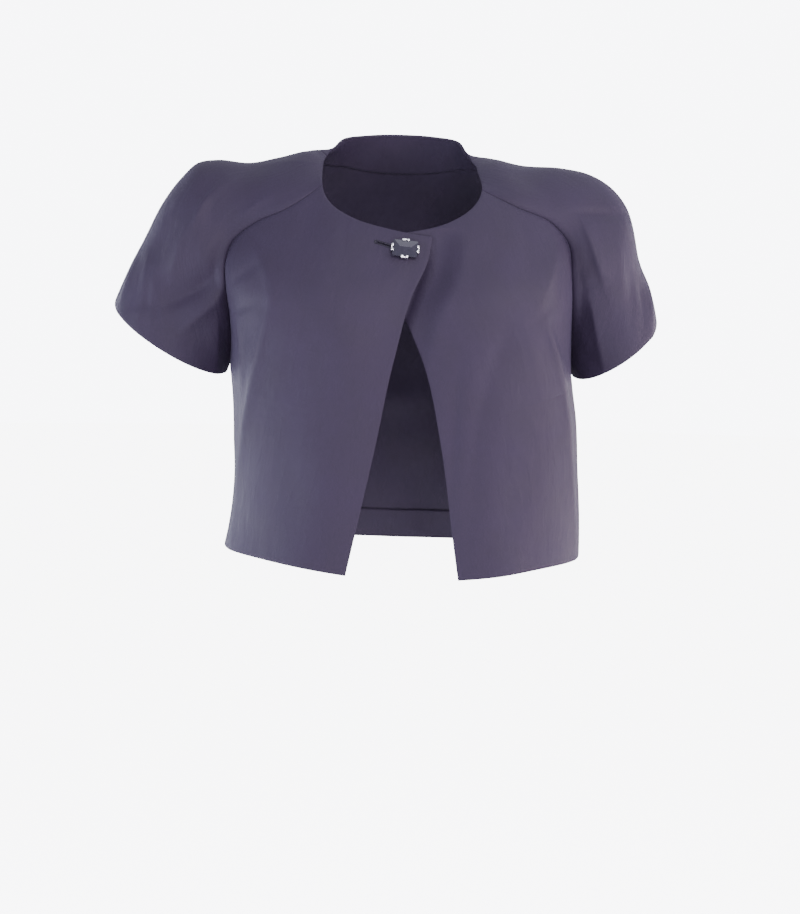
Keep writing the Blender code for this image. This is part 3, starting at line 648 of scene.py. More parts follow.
def crease_lift(grid, creases):
    """How far the creases lift each point, seen from the front or the back."""
    places = grid[..., None, (0, 2)]
    lift = np.zeros(grid.shape[:2])
    for start, middle, end, rise, left_width, right_width, softness in creases:
        path = crease_path(start, middle, end)
        chords = np.diff(path, axis=0)
        from_start = places - path[:-1]
        along = np.clip((from_start * chords).sum(axis=-1) / (chords**2).sum(axis=-1), 0, 1)
        off = from_start - along[..., None] * chords
        apart = np.linalg.norm(off, axis=-1)
        chord = np.argmin(apart, axis=-1)
        nearest = np.take_along_axis(off, chord[..., None, None], axis=2)[:, :, 0]
        walk = unit(chords[chord])
        share = (chord + np.take_along_axis(along, chord[..., None], axis=2)[..., 0]) / CREASE_STEPS
        side = walk[..., 0] * nearest[..., 1] - walk[..., 1] * nearest[..., 0]
        width = right_width + (left_width - right_width) * (0.5 + 0.5 * np.tanh(side / CREASE_SIDES))
        ends = np.sin(np.pi * np.clip(share, *CREASE_ENDS)) ** CREASE_TAPER
        reach = np.hypot(apart.min(axis=-1), CREASE_ROUND) / width
        lift += rise * ends * np.exp(-(reach**softness))
    return lift


highest = crease_lift(grids["front_right"], CREASES["front_right"]).max()
print("the creases lift the over front by up to", round(float(highest), 1), "mm")

# %% [markdown]
# Lengths and directions on the cloth
#
# A seam or hem is shaped by how far a point is from it along the cloth, as a tape would measure, and the cloth is
# lifted straight out of its own surface. So two helpers measure these on any grid of points.

# %% Measure along the cloth


def distances(grid, axis):
    """How far each point is along its row or column from the first and from the last point, in mm."""
    steps = np.linalg.norm(np.diff(grid, axis=axis), axis=-1)
    reach = np.cumsum(steps, axis=axis)
    reach = np.insert(reach, 0, 0, axis=axis)
    return reach, np.take(reach, [-1], axis=axis) - reach


def normals(grid, core):
    """The outward direction at each point of a grid that lies around core."""
    facing_out = unit(np.cross(np.gradient(grid, axis=1), np.gradient(grid, axis=0)))
    return facing_out if np.sum(facing_out * (grid - core)) > 0 else -facing_out


print("the back is", round(float(distances(grids["back"], 1)[0][CAP_ROWS, -1])), "mm wide at the underarm")

# %% [markdown]
# Seams, hems and the drift of the cloth
#
# A pressed seam sinks by about half a millimetre, the seam allowance behind it lifts the cloth a little on either
# side, and the stitching draws it into faint puckers. Faced edges and hems roll over softly. Between the creases
# real cloth is never quite flat, so three slow waves of a fraction of a millimetre run through it.

# %% Shape each piece
FADE_FROM_SEAM = 15  # all these sizes are in mm
SEAM_DIP, SEAM_DIP_WIDTH = 0.45, 1.3
ALLOWANCE_LIFT, ALLOWANCE_AT, ALLOWANCE_WIDTH = 0.2, 6, 4
PUCKER, PUCKER_STEP, PUCKER_REACH, PUCKER_START = 0.16, 11, 7, 3
PUCKER_SWELLS = (31, 47)
EDGE_ROLL, EDGE_ROLL_WIDTH = 0.4, 1.2
DRIFT = 0.35
SIDE_FADE = 20


def seam_shape(from_seam, along_seam):
    """The dip of a seam, the lift of its allowance and its puckers."""
    dip = -SEAM_DIP * np.exp(-((from_seam / SEAM_DIP_WIDTH) ** 2))
    lift = ALLOWANCE_LIFT * np.exp(-(((from_seam - ALLOWANCE_AT) / ALLOWANCE_WIDTH) ** 2))
    uneven, swell = (np.sin(along_seam / step) for step in PUCKER_SWELLS)
    beat = np.sin(2 * np.pi * along_seam / PUCKER_STEP + 2 * uneven)
    pucker = PUCKER * beat * swell * np.exp(-((from_seam / PUCKER_REACH) ** 2))
    return dip + lift + pucker * ease(from_seam, 0, PUCKER_START)


def edge_shape(from_edge):
    """The soft roll of a hem or a faced edge."""
    return -EDGE_ROLL * np.exp(-((from_edge / EDGE_ROLL_WIDTH) ** 2))


def drift(grid):
    """Three slow waves, each on its own slant. A divisor is how many mm a radian of the wave takes."""
    x, y, z = np.moveaxis(grid, -1, 0)
    slow = np.sin(x / 23 + z / 41 + 1.3) + np.sin(z / 19 - x / 53 + y / 37)
    return DRIFT * (slow + 0.6 * np.sin(x / 9.7 - z / 14.3 + y / 11)) / 2


def shape_cloth(name, grid):
    """Lifts a panel's points by its creases, seams, edges and drift."""
    core = grid * (0, 0, 1)
    lift = crease_lift(grid, CREASES[name])
    if name.startswith("sleeve"):
        core = grid.mean(axis=1, keepdims=True)
        behind = ease(grid[..., 1], -SIDE_FADE, SIDE_FADE)
        lift = lift * (1 - behind) + crease_lift(grid, CREASES[name + "_behind"]) * behind
    lift += drift(grid)
    from_first, from_last = distances(grid, 1)
    from_top, from_bottom = distances(grid, 0)
    first_is_seam = not name.startswith("front")
    fade = ease(from_last, 0, FADE_FROM_SEAM)
    if first_is_seam:
        fade = fade * ease(from_first, 0, FADE_FROM_SEAM)
    lift = lift * fade + seam_shape(from_last, from_top) + edge_shape(from_top) + edge_shape(from_bottom)
    lift += seam_shape(from_first, from_top) if first_is_seam else edge_shape(from_first)
    return grid + normals(grid, core) * lift[..., None], core


outs = {}
for name, grid in grids.items():
    grids[name], core = shape_cloth(name, grid)
    outs[name] = normals(grids[name], core)
    moved = np.linalg.norm(grids[name] - grid, axis=-1)
    print(name, "moved by up to", round(float(moved.max()), 1), "mm")

# %% [markdown]
# Seams that meet
#
# Two pieces that share a seam need one edge and one outward direction there, or their thick edges would run into
# each other, as boards do that aren't mitred. So the edges and directions of both sides are averaged, and then each
# edge is drawn back from the seam by half of a fine gap, which shows as the dark line of the seam.

# %% Mitre the seams and open them by a hair
SEAM_GAP = 0.3


def open_seam(grid, out, column):
    """Draws a panel's edge back from its seam by half the gap."""
    edge = grid[:, column]
    inside = grid[:, 1 if column == 0 else -2] - edge
    across = unit(np.cross(np.gradient(edge, axis=0), out[:, column]))
    across *= np.sign(np.sum(across * inside, axis=-1, keepdims=True))
    grid[:, column] = edge + across * SEAM_GAP / 2


def join(*edges):
    """Moves edges that are sewn together, or their directions, to the middle between them."""
    middle = np.mean(edges, axis=0)
    for edge in edges:
        edge[:] = middle


cap, below = slice(0, CAP_ROWS), slice(CAP_ROWS + 1, None)
for values in (grids, outs):
    for side, back_column in (("right", 0), ("left", -1)):
        front, sleeve, back = values["front_" + side], values["sleeve_" + side], values["back"]
        join(front[cap, -1], sleeve[cap, 0])
        join(back[cap, back_column], sleeve[cap, -1])
        join(sleeve[below, 0], sleeve[below, -1])
        join(front[below, -1], back[below, back_column])
        underarm = CAP_ROWS
        join(front[underarm, -1], back[underarm, back_column], sleeve[underarm, 0], sleeve[underarm, -1])
outs = {name: unit(out) for name, out in outs.items()}
for name in grids:
    open_seam(grids[name], outs[name], -1)
    if not name.startswith("front"):
        open_seam(grids[name], outs[name], 0)
print("seams opened by", SEAM_GAP, "mm")

# %% [markdown]
# Colours and nodes
#
# Colours are written as the hex values that a picture would show and turned to the linear values that light
# needs. Every material is a small tree of nodes, and one helper adds a node, its settings and its links.

# %% Helpers for the finishes


def linear(code):
    """A colour written as six hex digits, in linear light."""
    values = [int(code[i : i + 2], 16) / 255 for i in (0, 2, 4)]
    return tuple(v / 12.92 if v <= 0.04045 else ((v + 0.055) / 1.055) ** 2.4 for v in values) + (1.0,)


def add_node(tree, kind, inputs=(), **settings):
    """Adds a node. inputs pairs a socket with a value, or with the output that it is linked to."""
    node = tree.nodes.new(kind)
    for key, value in settings.items():
        setattr(node, key, value)
    for socket, value in inputs:
        if isinstance(value, bpy.types.NodeSocket):
            tree.links.new(value, node.inputs[socket])
        else:
            node.inputs[socket].default_value = value
    return node


def start_material(name, **constants):
    """A new material, its tree and its shader, with the constant values set on the shader itself."""
    made = bpy.data.materials.new(name)
    made.use_nodes = True
    shader = made.node_tree.nodes["Principled BSDF"]
    for socket, value in constants.items():
        shader.inputs[socket.replace("_", " ")].default_value = value
    return made, made.node_tree, shader


print("navy as light:", [round(value, 4) for value in linear("1b1a30")[:3]])

# %% [markdown]
# Navy cotton satin
#
# The cloth is a closely woven cotton satin, dyed navy. Its long floats lie flat, so it has a low, broad shine and
# a pale bloom where it turns away, but no thread can be told apart at arm's length. Its threads are about 0.15 mm
# apart, far finer than the picture shows, so the weave is drawn at 0.6 mm, just coarse enough to see close by. It
# follows the cloth through its own flat map, laid out in metres.

# %% The cloth's shine and weave
THREAD_STEP = 0.6  # mm
WAVE_UNIT = 0.314  # a wave texture repeats once in this length at scale 1

satin, tree, shader = start_material(
    "cotton_satin_navy",
    Specular_IOR_Level=0.22,
    Sheen_Weight=0.06,
    Sheen_Roughness=0.4,
    Sheen_Tint=linear("a8a4cc"),
)
flat_map = add_node(tree, "ShaderNodeUVMap", uv_map="cut")
place = add_node(tree, "ShaderNodeTexCoord")
wave_scale = WAVE_UNIT / (THREAD_STEP * MM)
threads = []
for direction in ("X", "Y"):
    inputs = (("Vector", flat_map.outputs["UV"]), ("Scale", wave_scale), ("Distortion", 0.4), ("Detail", 1.0))
    threads.append(add_node(tree, "ShaderNodeTexWave", inputs, bands_direction=direction))
weave = add_node(
    tree, "ShaderNodeMath", ((0, threads[0].outputs["Fac"]), (1, threads[1].outputs["Fac"])), operation="ADD"
)
print("weave bands in a metre:", round(1 / (THREAD_STEP * MM)))

# %% [markdown]
# Dye, pressing and wear
#
# The dye and the pressing leave slow clouds of tone about 35 mm wide, which also make the cloth a little duller
# here and there. Wear leaves faint crinkles, about 11 mm apart and three times as long, that run down the cloth.
# They are too fine to model as folds, so they are a bump, with the weave on top of it.

# %% The cloth's tone and crinkles
CLOUD_STEP, CRINKLE_STEP = 35, 11  # mm

clouds = add_node(
    tree,
    "ShaderNodeTexNoise",
    (("Vector", place.outputs["Object"]), ("Scale", 1 / (CLOUD_STEP * MM)), ("Detail", 4.0)),
)
tone = add_node(
    tree,
    "ShaderNodeMix",
    (("Factor", clouds.outputs["Fac"]), (6, linear("241d2d")), (7, linear("2a2236"))),
    data_type="RGBA",
)
shine = add_node(
    tree,
    "ShaderNodeMapRange",
    (("Value", clouds.outputs["Fac"]), ("To Min", 0.56), ("To Max", 0.7)),
)
lengthwise = add_node(
    tree, "ShaderNodeMapping", (("Vector", flat_map.outputs["UV"]), ("Scale", (1, 0.3, 1)))
)
ripple = add_node(
    tree,
    "ShaderNodeTexNoise",
    (
        ("Vector", lengthwise.outputs["Vector"]), ("Scale", 1 / (CRINKLE_STEP * MM)),
        ("Detail", 3.0), ("Distortion", 0.6),
    ),
)
ripple_bump = add_node(
    tree, "ShaderNodeBump", (("Height", ripple.outputs["Fac"]), ("Strength", 0.7), ("Distance", 0.8 * MM))
)
weave_bump = add_node(
    tree,
    "ShaderNodeBump",
    (
        ("Height", weave.outputs["Value"]), ("Strength", 0.3), ("Distance", 0.05 * MM),
        ("Normal", ripple_bump.outputs["Normal"]),
    ),
)
tree.links.new(tone.outputs["Result"], shader.inputs["Base Color"])
tree.links.new(shine.outputs["Result"], shader.inputs["Roughness"])
tree.links.new(weave_bump.outputs["Normal"], shader.inputs["Normal"])
print("satin has", len(tree.nodes), "nodes")

# %% [markdown]
# Laying the cloth
#
# Each piece starts as a flat grid of faces, as cloth starts flat, and its points are then placed on the shaped
# panel. Extruding it inwards gives the thickness of the cloth with its facing, 1.6 mm. A fine bevel rounds the
# turned edges. The flat map takes the real lengths along the cloth, so the weave keeps its size everywhere.

# %% Lay a shell of cloth
EDGE_ROUND, EDGE_ANGLE = 0.5, 55  # mm and degrees
THINNEST_ROUNDED = 1  # mm, so the thin strips inside keep plain edges


def lay_cloth(name, grid, out, thickness, finish):
    """A closed shell of cloth: its outer face on the grid, its inner face one thickness inside."""
    rows, columns = grid.shape[0] - 1, grid.shape[1] - 1
    cloth = bmesh.new()
    row_of = cloth.verts.layers.int.new("row")
    column_of = cloth.verts.layers.int.new("column")
    bmesh.ops.create_grid(cloth, x_segments=columns, y_segments=rows, size=1)
    for vert in cloth.verts:
        vert[row_of] = round((vert.co.y + 1) / 2 * rows)
        vert[column_of] = round((vert.co.x + 1) / 2 * columns)
        vert.co = grid[vert[row_of], vert[column_of]]
    lifted = bmesh.ops.extrude_face_region(cloth, geom=cloth.faces[:], use_keep_orig=True)
    for vert in lifted["geom"]:
        if isinstance(vert, bmesh.types.BMVert):
            point = vert[row_of], vert[column_of]
            vert.co = grid[point] - out[point] * thickness
    bmesh.ops.recalc_face_normals(cloth, faces=cloth.faces)
    across, down = distances(grid, 1)[0] * MM, distances(grid, 0)[0] * MM
    cut = cloth.loops.layers.uv.new("cut")
    for face in cloth.faces:
        for corner in face.loops:
            point = corner.vert[row_of], corner.vert[column_of]
            corner[cut].uv = across[point], -down[point]
    bmesh.ops.scale(cloth, vec=Vector((MM, MM, MM)), verts=cloth.verts)
    return finish_piece(name, cloth, finish, EDGE_ROUND * MM if thickness > THINNEST_ROUNDED else 0)


def finish_piece(name, shape, finish, rounding=0):
    """Turns a bmesh into a piece of the jacket that rides on its one body."""
    mesh = bpy.data.meshes.new(name)
    shape.to_mesh(mesh)
    shape.free()
    mesh.materials.append(finish)
    mesh.shade_smooth()
    piece = bpy.data.objects.new(name, mesh)
    scene.collection.objects.link(piece)
    if rounding:
        rounded = piece.modifiers.new("rounded_edges", "BEVEL")
        rounded.width = rounding
        rounded.segments = 2
        rounded.angle_limit = math.radians(EDGE_ANGLE)
    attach(piece, "root")
    return piece


print("edges of the cloth are rounded by", EDGE_ROUND, "mm")

# %% [markdown]
# The five cut pieces
#
# The two fronts, the back and the two sleeves are laid one by one. Each stands for one solid of the jacket, takes
# the place of that solid, and is cut from the same satin.

# %% Make the five pieces
WALL = 1.6

pieces = {}
for name in grids:
    pieces[name] = lay_cloth(name + "_cloth", grids[name], outs[name], WALL, satin)
    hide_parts(name)
    print(name, len(pieces[name].data.polygons), "faces")

# %% [markdown]
# Hems and facings
#
# Inside the jacket the body's hem is turned up by about 30 mm and the sleeves' by 22, and a facing of the same
# cloth backs the neckline and the front edges. They show through the neck and below the button. Each is its own
# thin strip, laid a little inside the panel from the panel's own points, so it follows every fold.

# %% Turn up the hems and lay the facings
HEM_DEPTH, SLEEVE_HEM_DEPTH, NECK_FACING, FRONT_FACING = 30, 22, 45, 50  # mm
STRIP_GAP, STRIP_WALL = 0.35, 0.5  # mm
SEAM_CLEAR, EDGE_CLEAR = 5, 2  # points left free beside a seam and beside an edge


def rows_within(name, depth):
    """How many rows lie within this depth of the hem, halfway across the piece."""
    return int(np.sum(distances(grids[name], 0)[1][:, grids[name].shape[1] // 2] < depth))


def inner_strip(name, source, rows, columns):
    """A strip of cloth against the inside of a piece."""
    grid, out = grids[source][rows, columns], outs[source][rows, columns]
    strip = lay_cloth(name, grid - out * (WALL + STRIP_GAP), out, STRIP_WALL, satin)
    pieces[name] = strip


seam_to_seam = slice(SEAM_CLEAR, -SEAM_CLEAR)
inner_strip("back_hem_turnup", "back", slice(-rows_within("back", HEM_DEPTH), None), seam_to_seam)
for side in ("right", "left"):
    front, sleeve = "front_" + side, "sleeve_" + side
    hem_rows = slice(-rows_within(sleeve, SLEEVE_HEM_DEPTH), None)
    inner_strip(sleeve + "_hem_turnup", sleeve, hem_rows, seam_to_seam)
    facing_end = int(np.sum(distances(grids[front], 1)[0][CAP_ROWS] < FRONT_FACING))
    inner_strip(front + "_edge_facing", front, slice(EDGE_CLEAR, -EDGE_CLEAR), slice(EDGE_CLEAR, facing_end))
    hem_rows = slice(-rows_within(front, HEM_DEPTH), None)
    inner_strip(front + "_hem_turnup", front, hem_rows, slice(facing_end + EDGE_CLEAR, -SEAM_CLEAR))
neck_rows = int(np.sum(distances(grids["back"], 0)[0][:, BACK_COLUMNS // 2] < NECK_FACING))
inner_strip("back_neck_facing", "back", slice(0, neck_rows), seam_to_seam)
print("strips:", ", ".join(name for name in pieces if name not in grids))

# %% [markdown]
# Seam allowances
#
# Behind every seam the edges of both pieces are turned under by about 10 mm and pressed flat. They close the seam
# from inside, so no light comes through it. Each pair is one thin strip here, made of the few columns next to the
# seam on both sides, and it lies between the cloth and the turned hems.

# %% Press the allowances behind the seams
ALLOWANCE_COLUMNS = 10
ALLOWANCE_GAP, ALLOWANCE_WALL = 0.08, 0.2  # mm


def press_allowance(name, first, second, rows):
    """A strip behind a seam where first ends and second starts. Each is the grid and outs of a piece."""
    beside = slice(-ALLOWANCE_COLUMNS, None), slice(0, ALLOWANCE_COLUMNS)
    grid = np.concatenate([first[0][rows, beside[0]], second[0][rows, beside[1]]], axis=1)
    out = np.concatenate([first[1][rows, beside[0]], second[1][rows, beside[1]]], axis=1)
    pieces[name] = lay_cloth(name, grid - out * (WALL + ALLOWANCE_GAP), out, ALLOWANCE_WALL, satin)


over_cap, under_cap = slice(1, CAP_ROWS + 1), slice(CAP_ROWS, -1)
for side in ("right", "left"):
    front = grids["front_" + side], outs["front_" + side]
    sleeve = grids["sleeve_" + side], outs["sleeve_" + side]
    back = grids["back"], outs["back"]
    if side == "left":
        back = back[0][:, ::-1], back[1][:, ::-1]
    press_allowance(f"raglan_front_allowance_{side}", front, sleeve, over_cap)
    press_allowance(f"raglan_back_allowance_{side}", sleeve, back, over_cap)
    press_allowance(f"sleeve_allowance_{side}", sleeve, sleeve, under_cap)
    press_allowance(f"side_allowance_{side}", front, back, under_cap)
print("allowances:", ", ".join(name for name in pieces if "allowance" in name))

# %% [markdown]
# The buttonhole
#
# The slit runs from the left down towards the button, and is wider where the button's shank stands. The blade that
# will cut it is a strip of faces, drawn out to that outline and extruded back through the cloth.

# %% Shape the blade
HOLE_ENDS = ((-26.2, -73.2), (4.4, -81.9))
HOLE_NARROW, HOLE_WIDE, HOLE_WIDENS = 0.9, 2.8, (0.6, 0.78)  # mm, mm, shares of its length
BLADE_START, BLADE_DEPTH, BLADE_STEPS = -140, 70, 24

(hole_x, hole_z), (hole_end_x, hole_end_z) = HOLE_ENDS
hole_length = math.hypot(hole_end_x - hole_x, hole_end_z - hole_z)
hole_slope = math.atan2(hole_end_z - hole_z, hole_end_x - hole_x)
hole_frame = Matrix.Translation((hole_x, 0, hole_z)) @ Matrix.Rotation(-hole_slope, 4, "Y")


def hole_half_width(along):
    """Half the slit's width at a share of its length."""
    return np.interp(along, HOLE_WIDENS, (HOLE_NARROW / 2, HOLE_WIDE / 2))


blade_shape = bmesh.new()
bmesh.ops.create_grid(blade_shape, x_segments=BLADE_STEPS, y_segments=1, size=1)
for vert in blade_shape.verts:
    share = (vert.co.x + 1) / 2
    vert.co = Vector((share * hole_length, BLADE_START, vert.co.y * hole_half_width(share)))
deeper = bmesh.ops.extrude_face_region(blade_shape, geom=blade_shape.faces[:], use_keep_orig=True)
far_side = [part for part in deeper["geom"] if isinstance(part, bmesh.types.BMVert)]
bmesh.ops.translate(blade_shape, vec=(0, BLADE_DEPTH, 0), verts=far_side)
bmesh.ops.recalc_face_normals(blade_shape, faces=blade_shape.faces)
bmesh.ops.transform(blade_shape, matrix=Matrix.Scale(MM, 4) @ hole_frame, verts=blade_shape.verts)
blade_mesh = bpy.data.meshes.new("blade")
blade_shape.to_mesh(blade_mesh)
blade_shape.free()
blade = bpy.data.objects.new("blade", blade_mesh)
scene.collection.objects.link(blade)
print("slit:", round(hole_length, 1), "mm long")

# %% [markdown]
# Cutting the slit
#
# A maker cuts the hole through the front and its facing at once. A Boolean does the same to both pieces. It goes
# before their other modifiers and is applied at once, so the blade can be thrown away.

# %% Cut the slit


def cut_slit(piece):
    """Cuts the blade out of a piece's own mesh."""
    cut = piece.modifiers.new("buttonhole", "BOOLEAN")
    cut.operation = "DIFFERENCE"
    cut.object = blade
    piece.modifiers.move(len(piece.modifiers) - 1, 0)
    for later in piece.modifiers[1:]:
        later.show_viewport = False
    bpy.context.view_layer.update()
    cut_mesh = bpy.data.meshes.new_from_object(piece.evaluated_get(bpy.context.evaluated_depsgraph_get()))
    piece.modifiers.remove(cut)
    for later in piece.modifiers:
        later.show_viewport = True
    piece.data = cut_mesh


over_front = pieces["front_right"]
for piece in (over_front, pieces["front_right_edge_facing"]):
    cut_slit(piece)
    print(piece.name, "after the cut:", len(piece.data.polygons), "faces")
bpy.data.objects.remove(blade)

# %% [markdown]
# Navy thread
#
# The buttonhole is worked in a navy polyester thread, a shade darker and shinier than the cloth. Its twist shows
# as slanting ridges about 0.3 mm apart. Its colour is painted darker in the grooves of the twist and lighter on
# its ridges, which is painted shade.

# %% The thread's finish
TWIST_STEP = 0.3  # mm

thread, tree, shader = start_material("polyester_thread_navy", Roughness=0.5, Specular_IOR_Level=0.3)
place = add_node(tree, "ShaderNodeTexCoord")
twist = add_node(
    tree,
    "ShaderNodeTexWave",
    (("Vector", place.outputs["Object"]), ("Scale", WAVE_UNIT / (TWIST_STEP * MM)), ("Distortion", 0.5)),
    bands_direction="DIAGONAL",
)
# Painted shade: the thread's colour follows the same twist waves as the bump, darker in the grooves, lighter on the
# ridges.
twist_colour_and_shade = add_node(
    tree,
    "ShaderNodeMix",
    (("Factor", twist.outputs["Fac"]), (6, linear("0a0812")), (7, linear("1c182a"))),
    data_type="RGBA",
)
twist_bump = add_node(
    tree, "ShaderNodeBump", (("Height", twist.outputs["Fac"]), ("Strength", 0.4), ("Distance", 0.08 * MM))
)
tree.links.new(twist_colour_and_shade.outputs["Result"], shader.inputs["Base Color"])
tree.links.new(twist_bump.outputs["Normal"], shader.inputs["Normal"])
print("thread has", len(tree.nodes), "nodes")

# %% [markdown]
# Buttonhole stitches
#
# Close stitches stand side by side along both edges of the slit and fan round its end. One stitch is a small ball
# stretched to 2.2 mm, set on the cloth with a ray from the front, so that each lies along the surface. All of them
# take their tilt from one spot beside the slit, because the cut itself has no surface to ask.

# %% Work the buttonhole
STITCH_STEP, STITCH_LENGTH, STITCH_WIDTH, STITCH_HEIGHT = 0.8, 2.2, 0.62, 0.5
STITCH_OVER_EDGE, STITCH_PROUD, STITCH_FACES = 0.4, 0.1, 80
FAN_STITCHES = 7
BESIDE_SLIT = (-30, -90)  # x and z in mm
BEFORE_FRONT = -0.3  # y in metres, where the rays start

over_tree = BVHTree.FromObject(over_front, bpy.context.evaluated_depsgraph_get())


def on_over_front(x, z):
    """The point and outward direction of the over front at an x and z, both in mm."""
    point, facing_out, _, _ = over_tree.ray_cast(Vector((x * MM, BEFORE_FRONT, z * MM)), Vector((0, 1, 0)))
    return point / MM, facing_out


def add_stitch(shape, x, z, direction):
    """One stitch at an x and z that points in a direction in the x and z plane."""
    _, facing_out = on_over_front(*BESIDE_SLIT)
    point, _ = on_over_front(x, z)
    along = Vector((direction[0], 0, direction[1]))
    along = (along - facing_out * along.dot(facing_out)).normalized()
    turn = Matrix((along, facing_out.cross(along), facing_out)).transposed().to_4x4()
    size = Matrix.Diagonal((STITCH_LENGTH / 2, STITCH_WIDTH / 2, STITCH_HEIGHT / 2, 1))
    matrix = Matrix.Scale(MM, 4) @ Matrix.Translation(point + facing_out * STITCH_PROUD) @ turn @ size
    bmesh.ops.create_icosphere(shape, subdivisions=2, radius=1, matrix=matrix)


stitches = bmesh.new()
reach = STITCH_LENGTH / 2 - STITCH_OVER_EDGE
for step in range(int(hole_length / STITCH_STEP)):
    share = step * STITCH_STEP / hole_length
    for upward in (1, -1):
        up = upward * (hole_half_width(share) + reach)
        place_on_slit = hole_frame @ Vector((share * hole_length, 0, up))
        add_stitch(stitches, place_on_slit.x, place_on_slit.z, (-math.sin(hole_slope), math.cos(hole_slope)))
for step in range(FAN_STITCHES):
    angle = math.pi / 2 + math.pi * (step + 0.5) / FAN_STITCHES
    across = Vector((math.cos(angle), 0, math.sin(angle)))
    place_on_slit = hole_frame @ (across * (HOLE_NARROW / 2 + reach))
    away = hole_frame.to_3x3() @ across
    add_stitch(stitches, place_on_slit.x, place_on_slit.z, (away.x, away.z))
pieces["buttonhole_stitches"] = finish_piece("buttonhole_stitches", stitches, thread)
print("stitches:", len(pieces["buttonhole_stitches"].data.polygons) // STITCH_FACES)

# %% [markdown]
# Where the button sits
#
# The button stands on the over front near the neck. Its middle and its outward direction are the solid stone's
# own, from the cloth under it, and it is turned a little clockwise. Its pieces are shaped lying flat, with x to
# the right, y up and z towards the viewer, and are then moved to this frame.

# %% The button's frame
BUTTON_CENTRE = Vector((1.13, -105.31, -78.51))
BUTTON_OUT = Vector((0.0495, -0.9042, 0.4243)).normalized()
BUTTON_TURN = 4.5

to_right = Vector((math.cos(math.radians(BUTTON_TURN)), 0, -math.sin(math.radians(BUTTON_TURN))))
to_right = (to_right - BUTTON_OUT * to_right.dot(BUTTON_OUT)).normalized()
button_frame = Matrix((to_right, BUTTON_OUT.cross(to_right), BUTTON_OUT)).transposed().to_4x4()
button_frame = Matrix.Scale(MM, 4) @ Matrix.Translation(BUTTON_CENTRE) @ button_frame
print("button faces", [round(value, 2) for value in BUTTON_OUT])

# %% [markdown]
# Smoky glass stone
#
# The stone is a pressed glass one, smoky blue and foiled at the back, ground and polished to flat facets. Polished
# glass has an index of about 1.52 and a sharp reflection, so each facet shows its own piece of the room: the upper
# one the light above, the lower one the darker room before it. Faint streaks in the glass vary its colour.

# %% The stone's finish
STREAK_STEP = 4  # mm

glass, tree, shader = start_material("pressed_glass_smoky_blue", IOR=1.52)
place = add_node(tree, "ShaderNodeTexCoord")
streaks = add_node(
    tree,
    "ShaderNodeTexNoise",
    (
        ("Vector", place.outputs["Object"]), ("Scale", 1 / (STREAK_STEP * MM)),
        ("Detail", 3.0), ("Distortion", 1.2),
    ),
)
depth = add_node(
    tree,
    "ShaderNodeMix",
    (("Factor", streaks.outputs["Fac"]), (6, linear("1b1926")), (7, linear("2b2837"))),
    data_type="RGBA",
)
polish = add_node(
    tree, "ShaderNodeMapRange", (("Value", streaks.outputs["Fac"]), ("To Min", 0.05), ("To Max", 0.14))
)
tree.links.new(depth.outputs["Result"], shader.inputs["Base Color"])
tree.links.new(polish.outputs["Result"], shader.inputs["Roughness"])
print("glass has", len(tree.nodes), "nodes")

# %% [markdown]
# Blocks with clipped corners
#
# The stone and the tray behind it both start as a flat block with clipped corners. A cube is flattened, and its
# four upright edges are bevelled once. Two more helpers draw in its top or bottom and soften its edges, as a
# grinding wheel or a stamp would.

# %% Helpers for cut blocks


def flat_block(width, height, thickness, corner, middle=0):
    """A block that lies flat, with its four upright edges clipped."""
    block = bmesh.new()
    bmesh.ops.create_cube(block, size=1)
    bmesh.ops.scale(block, vec=Vector((width, height, thickness)), verts=block.verts)
    bmesh.ops.translate(block, vec=(0, 0, middle), verts=block.verts)
    upright = [edge for edge in block.edges if abs(edge.verts[0].co.z - edge.verts[1].co.z) > thickness / 2]
    bmesh.ops.bevel(
        block, geom=upright, offset=corner, affect="EDGES", segments=1, profile=0.5, material=-1,
        clamp_overlap=True,
    )
    return block


def draw_in(shape, upwards, rise, width_share, height_share):
    """Extrudes the face that looks up or down, moves it by rise and draws it in. Area breaks a tie."""
    face = max(shape.faces, key=lambda face: face.calc_center_median().z * upwards + face.calc_area() * 1e-3)
    grown = bmesh.ops.extrude_face_region(shape, geom=[face])["geom"]
    verts = [part for part in grown if isinstance(part, bmesh.types.BMVert)]
    bmesh.ops.scale(shape, vec=Vector((width_share, height_share, 1)), verts=verts)
    bmesh.ops.translate(shape, vec=(0, 0, rise * upwards), verts=verts)
    bmesh.ops.delete(shape, geom=[face], context="FACES_ONLY")


def soften(shape, width, segments=2):
    """A fine bevel on every edge."""
    bmesh.ops.bevel(
        shape, geom=shape.edges[:], offset=width, affect="EDGES", segments=segments, profile=0.5, material=-1,
        clamp_overlap=True,
    )


block = flat_block(4, 3, 1, 0.2)
print("a clipped block has", len(block.faces), "faces")
block.free()

# %% [markdown]
# The stone
#
# Its outline is a rectangle with clipped corners, and its top is cut like a hipped roof with a narrow ridge. The
# block is its girdle, its widest part, and the top and bottom of it are extruded and drawn in. A last fine bevel
# gives the ground edges their thin bright line.

# %% Cut the stone
STONE_WIDTH, STONE_HEIGHT, STONE_GIRDLE, STONE_CORNER = 23.5, 16.0, 1.2, 1.0
STONE_CROWN, STONE_RIDGE, STONE_RIDGE_WIDTH = 4.0, 11.0, 0.3
STONE_BACK, STONE_TAPER = 2.2, 6.0
GROUND_EDGE, FACET_ANGLE = 0.08, 12

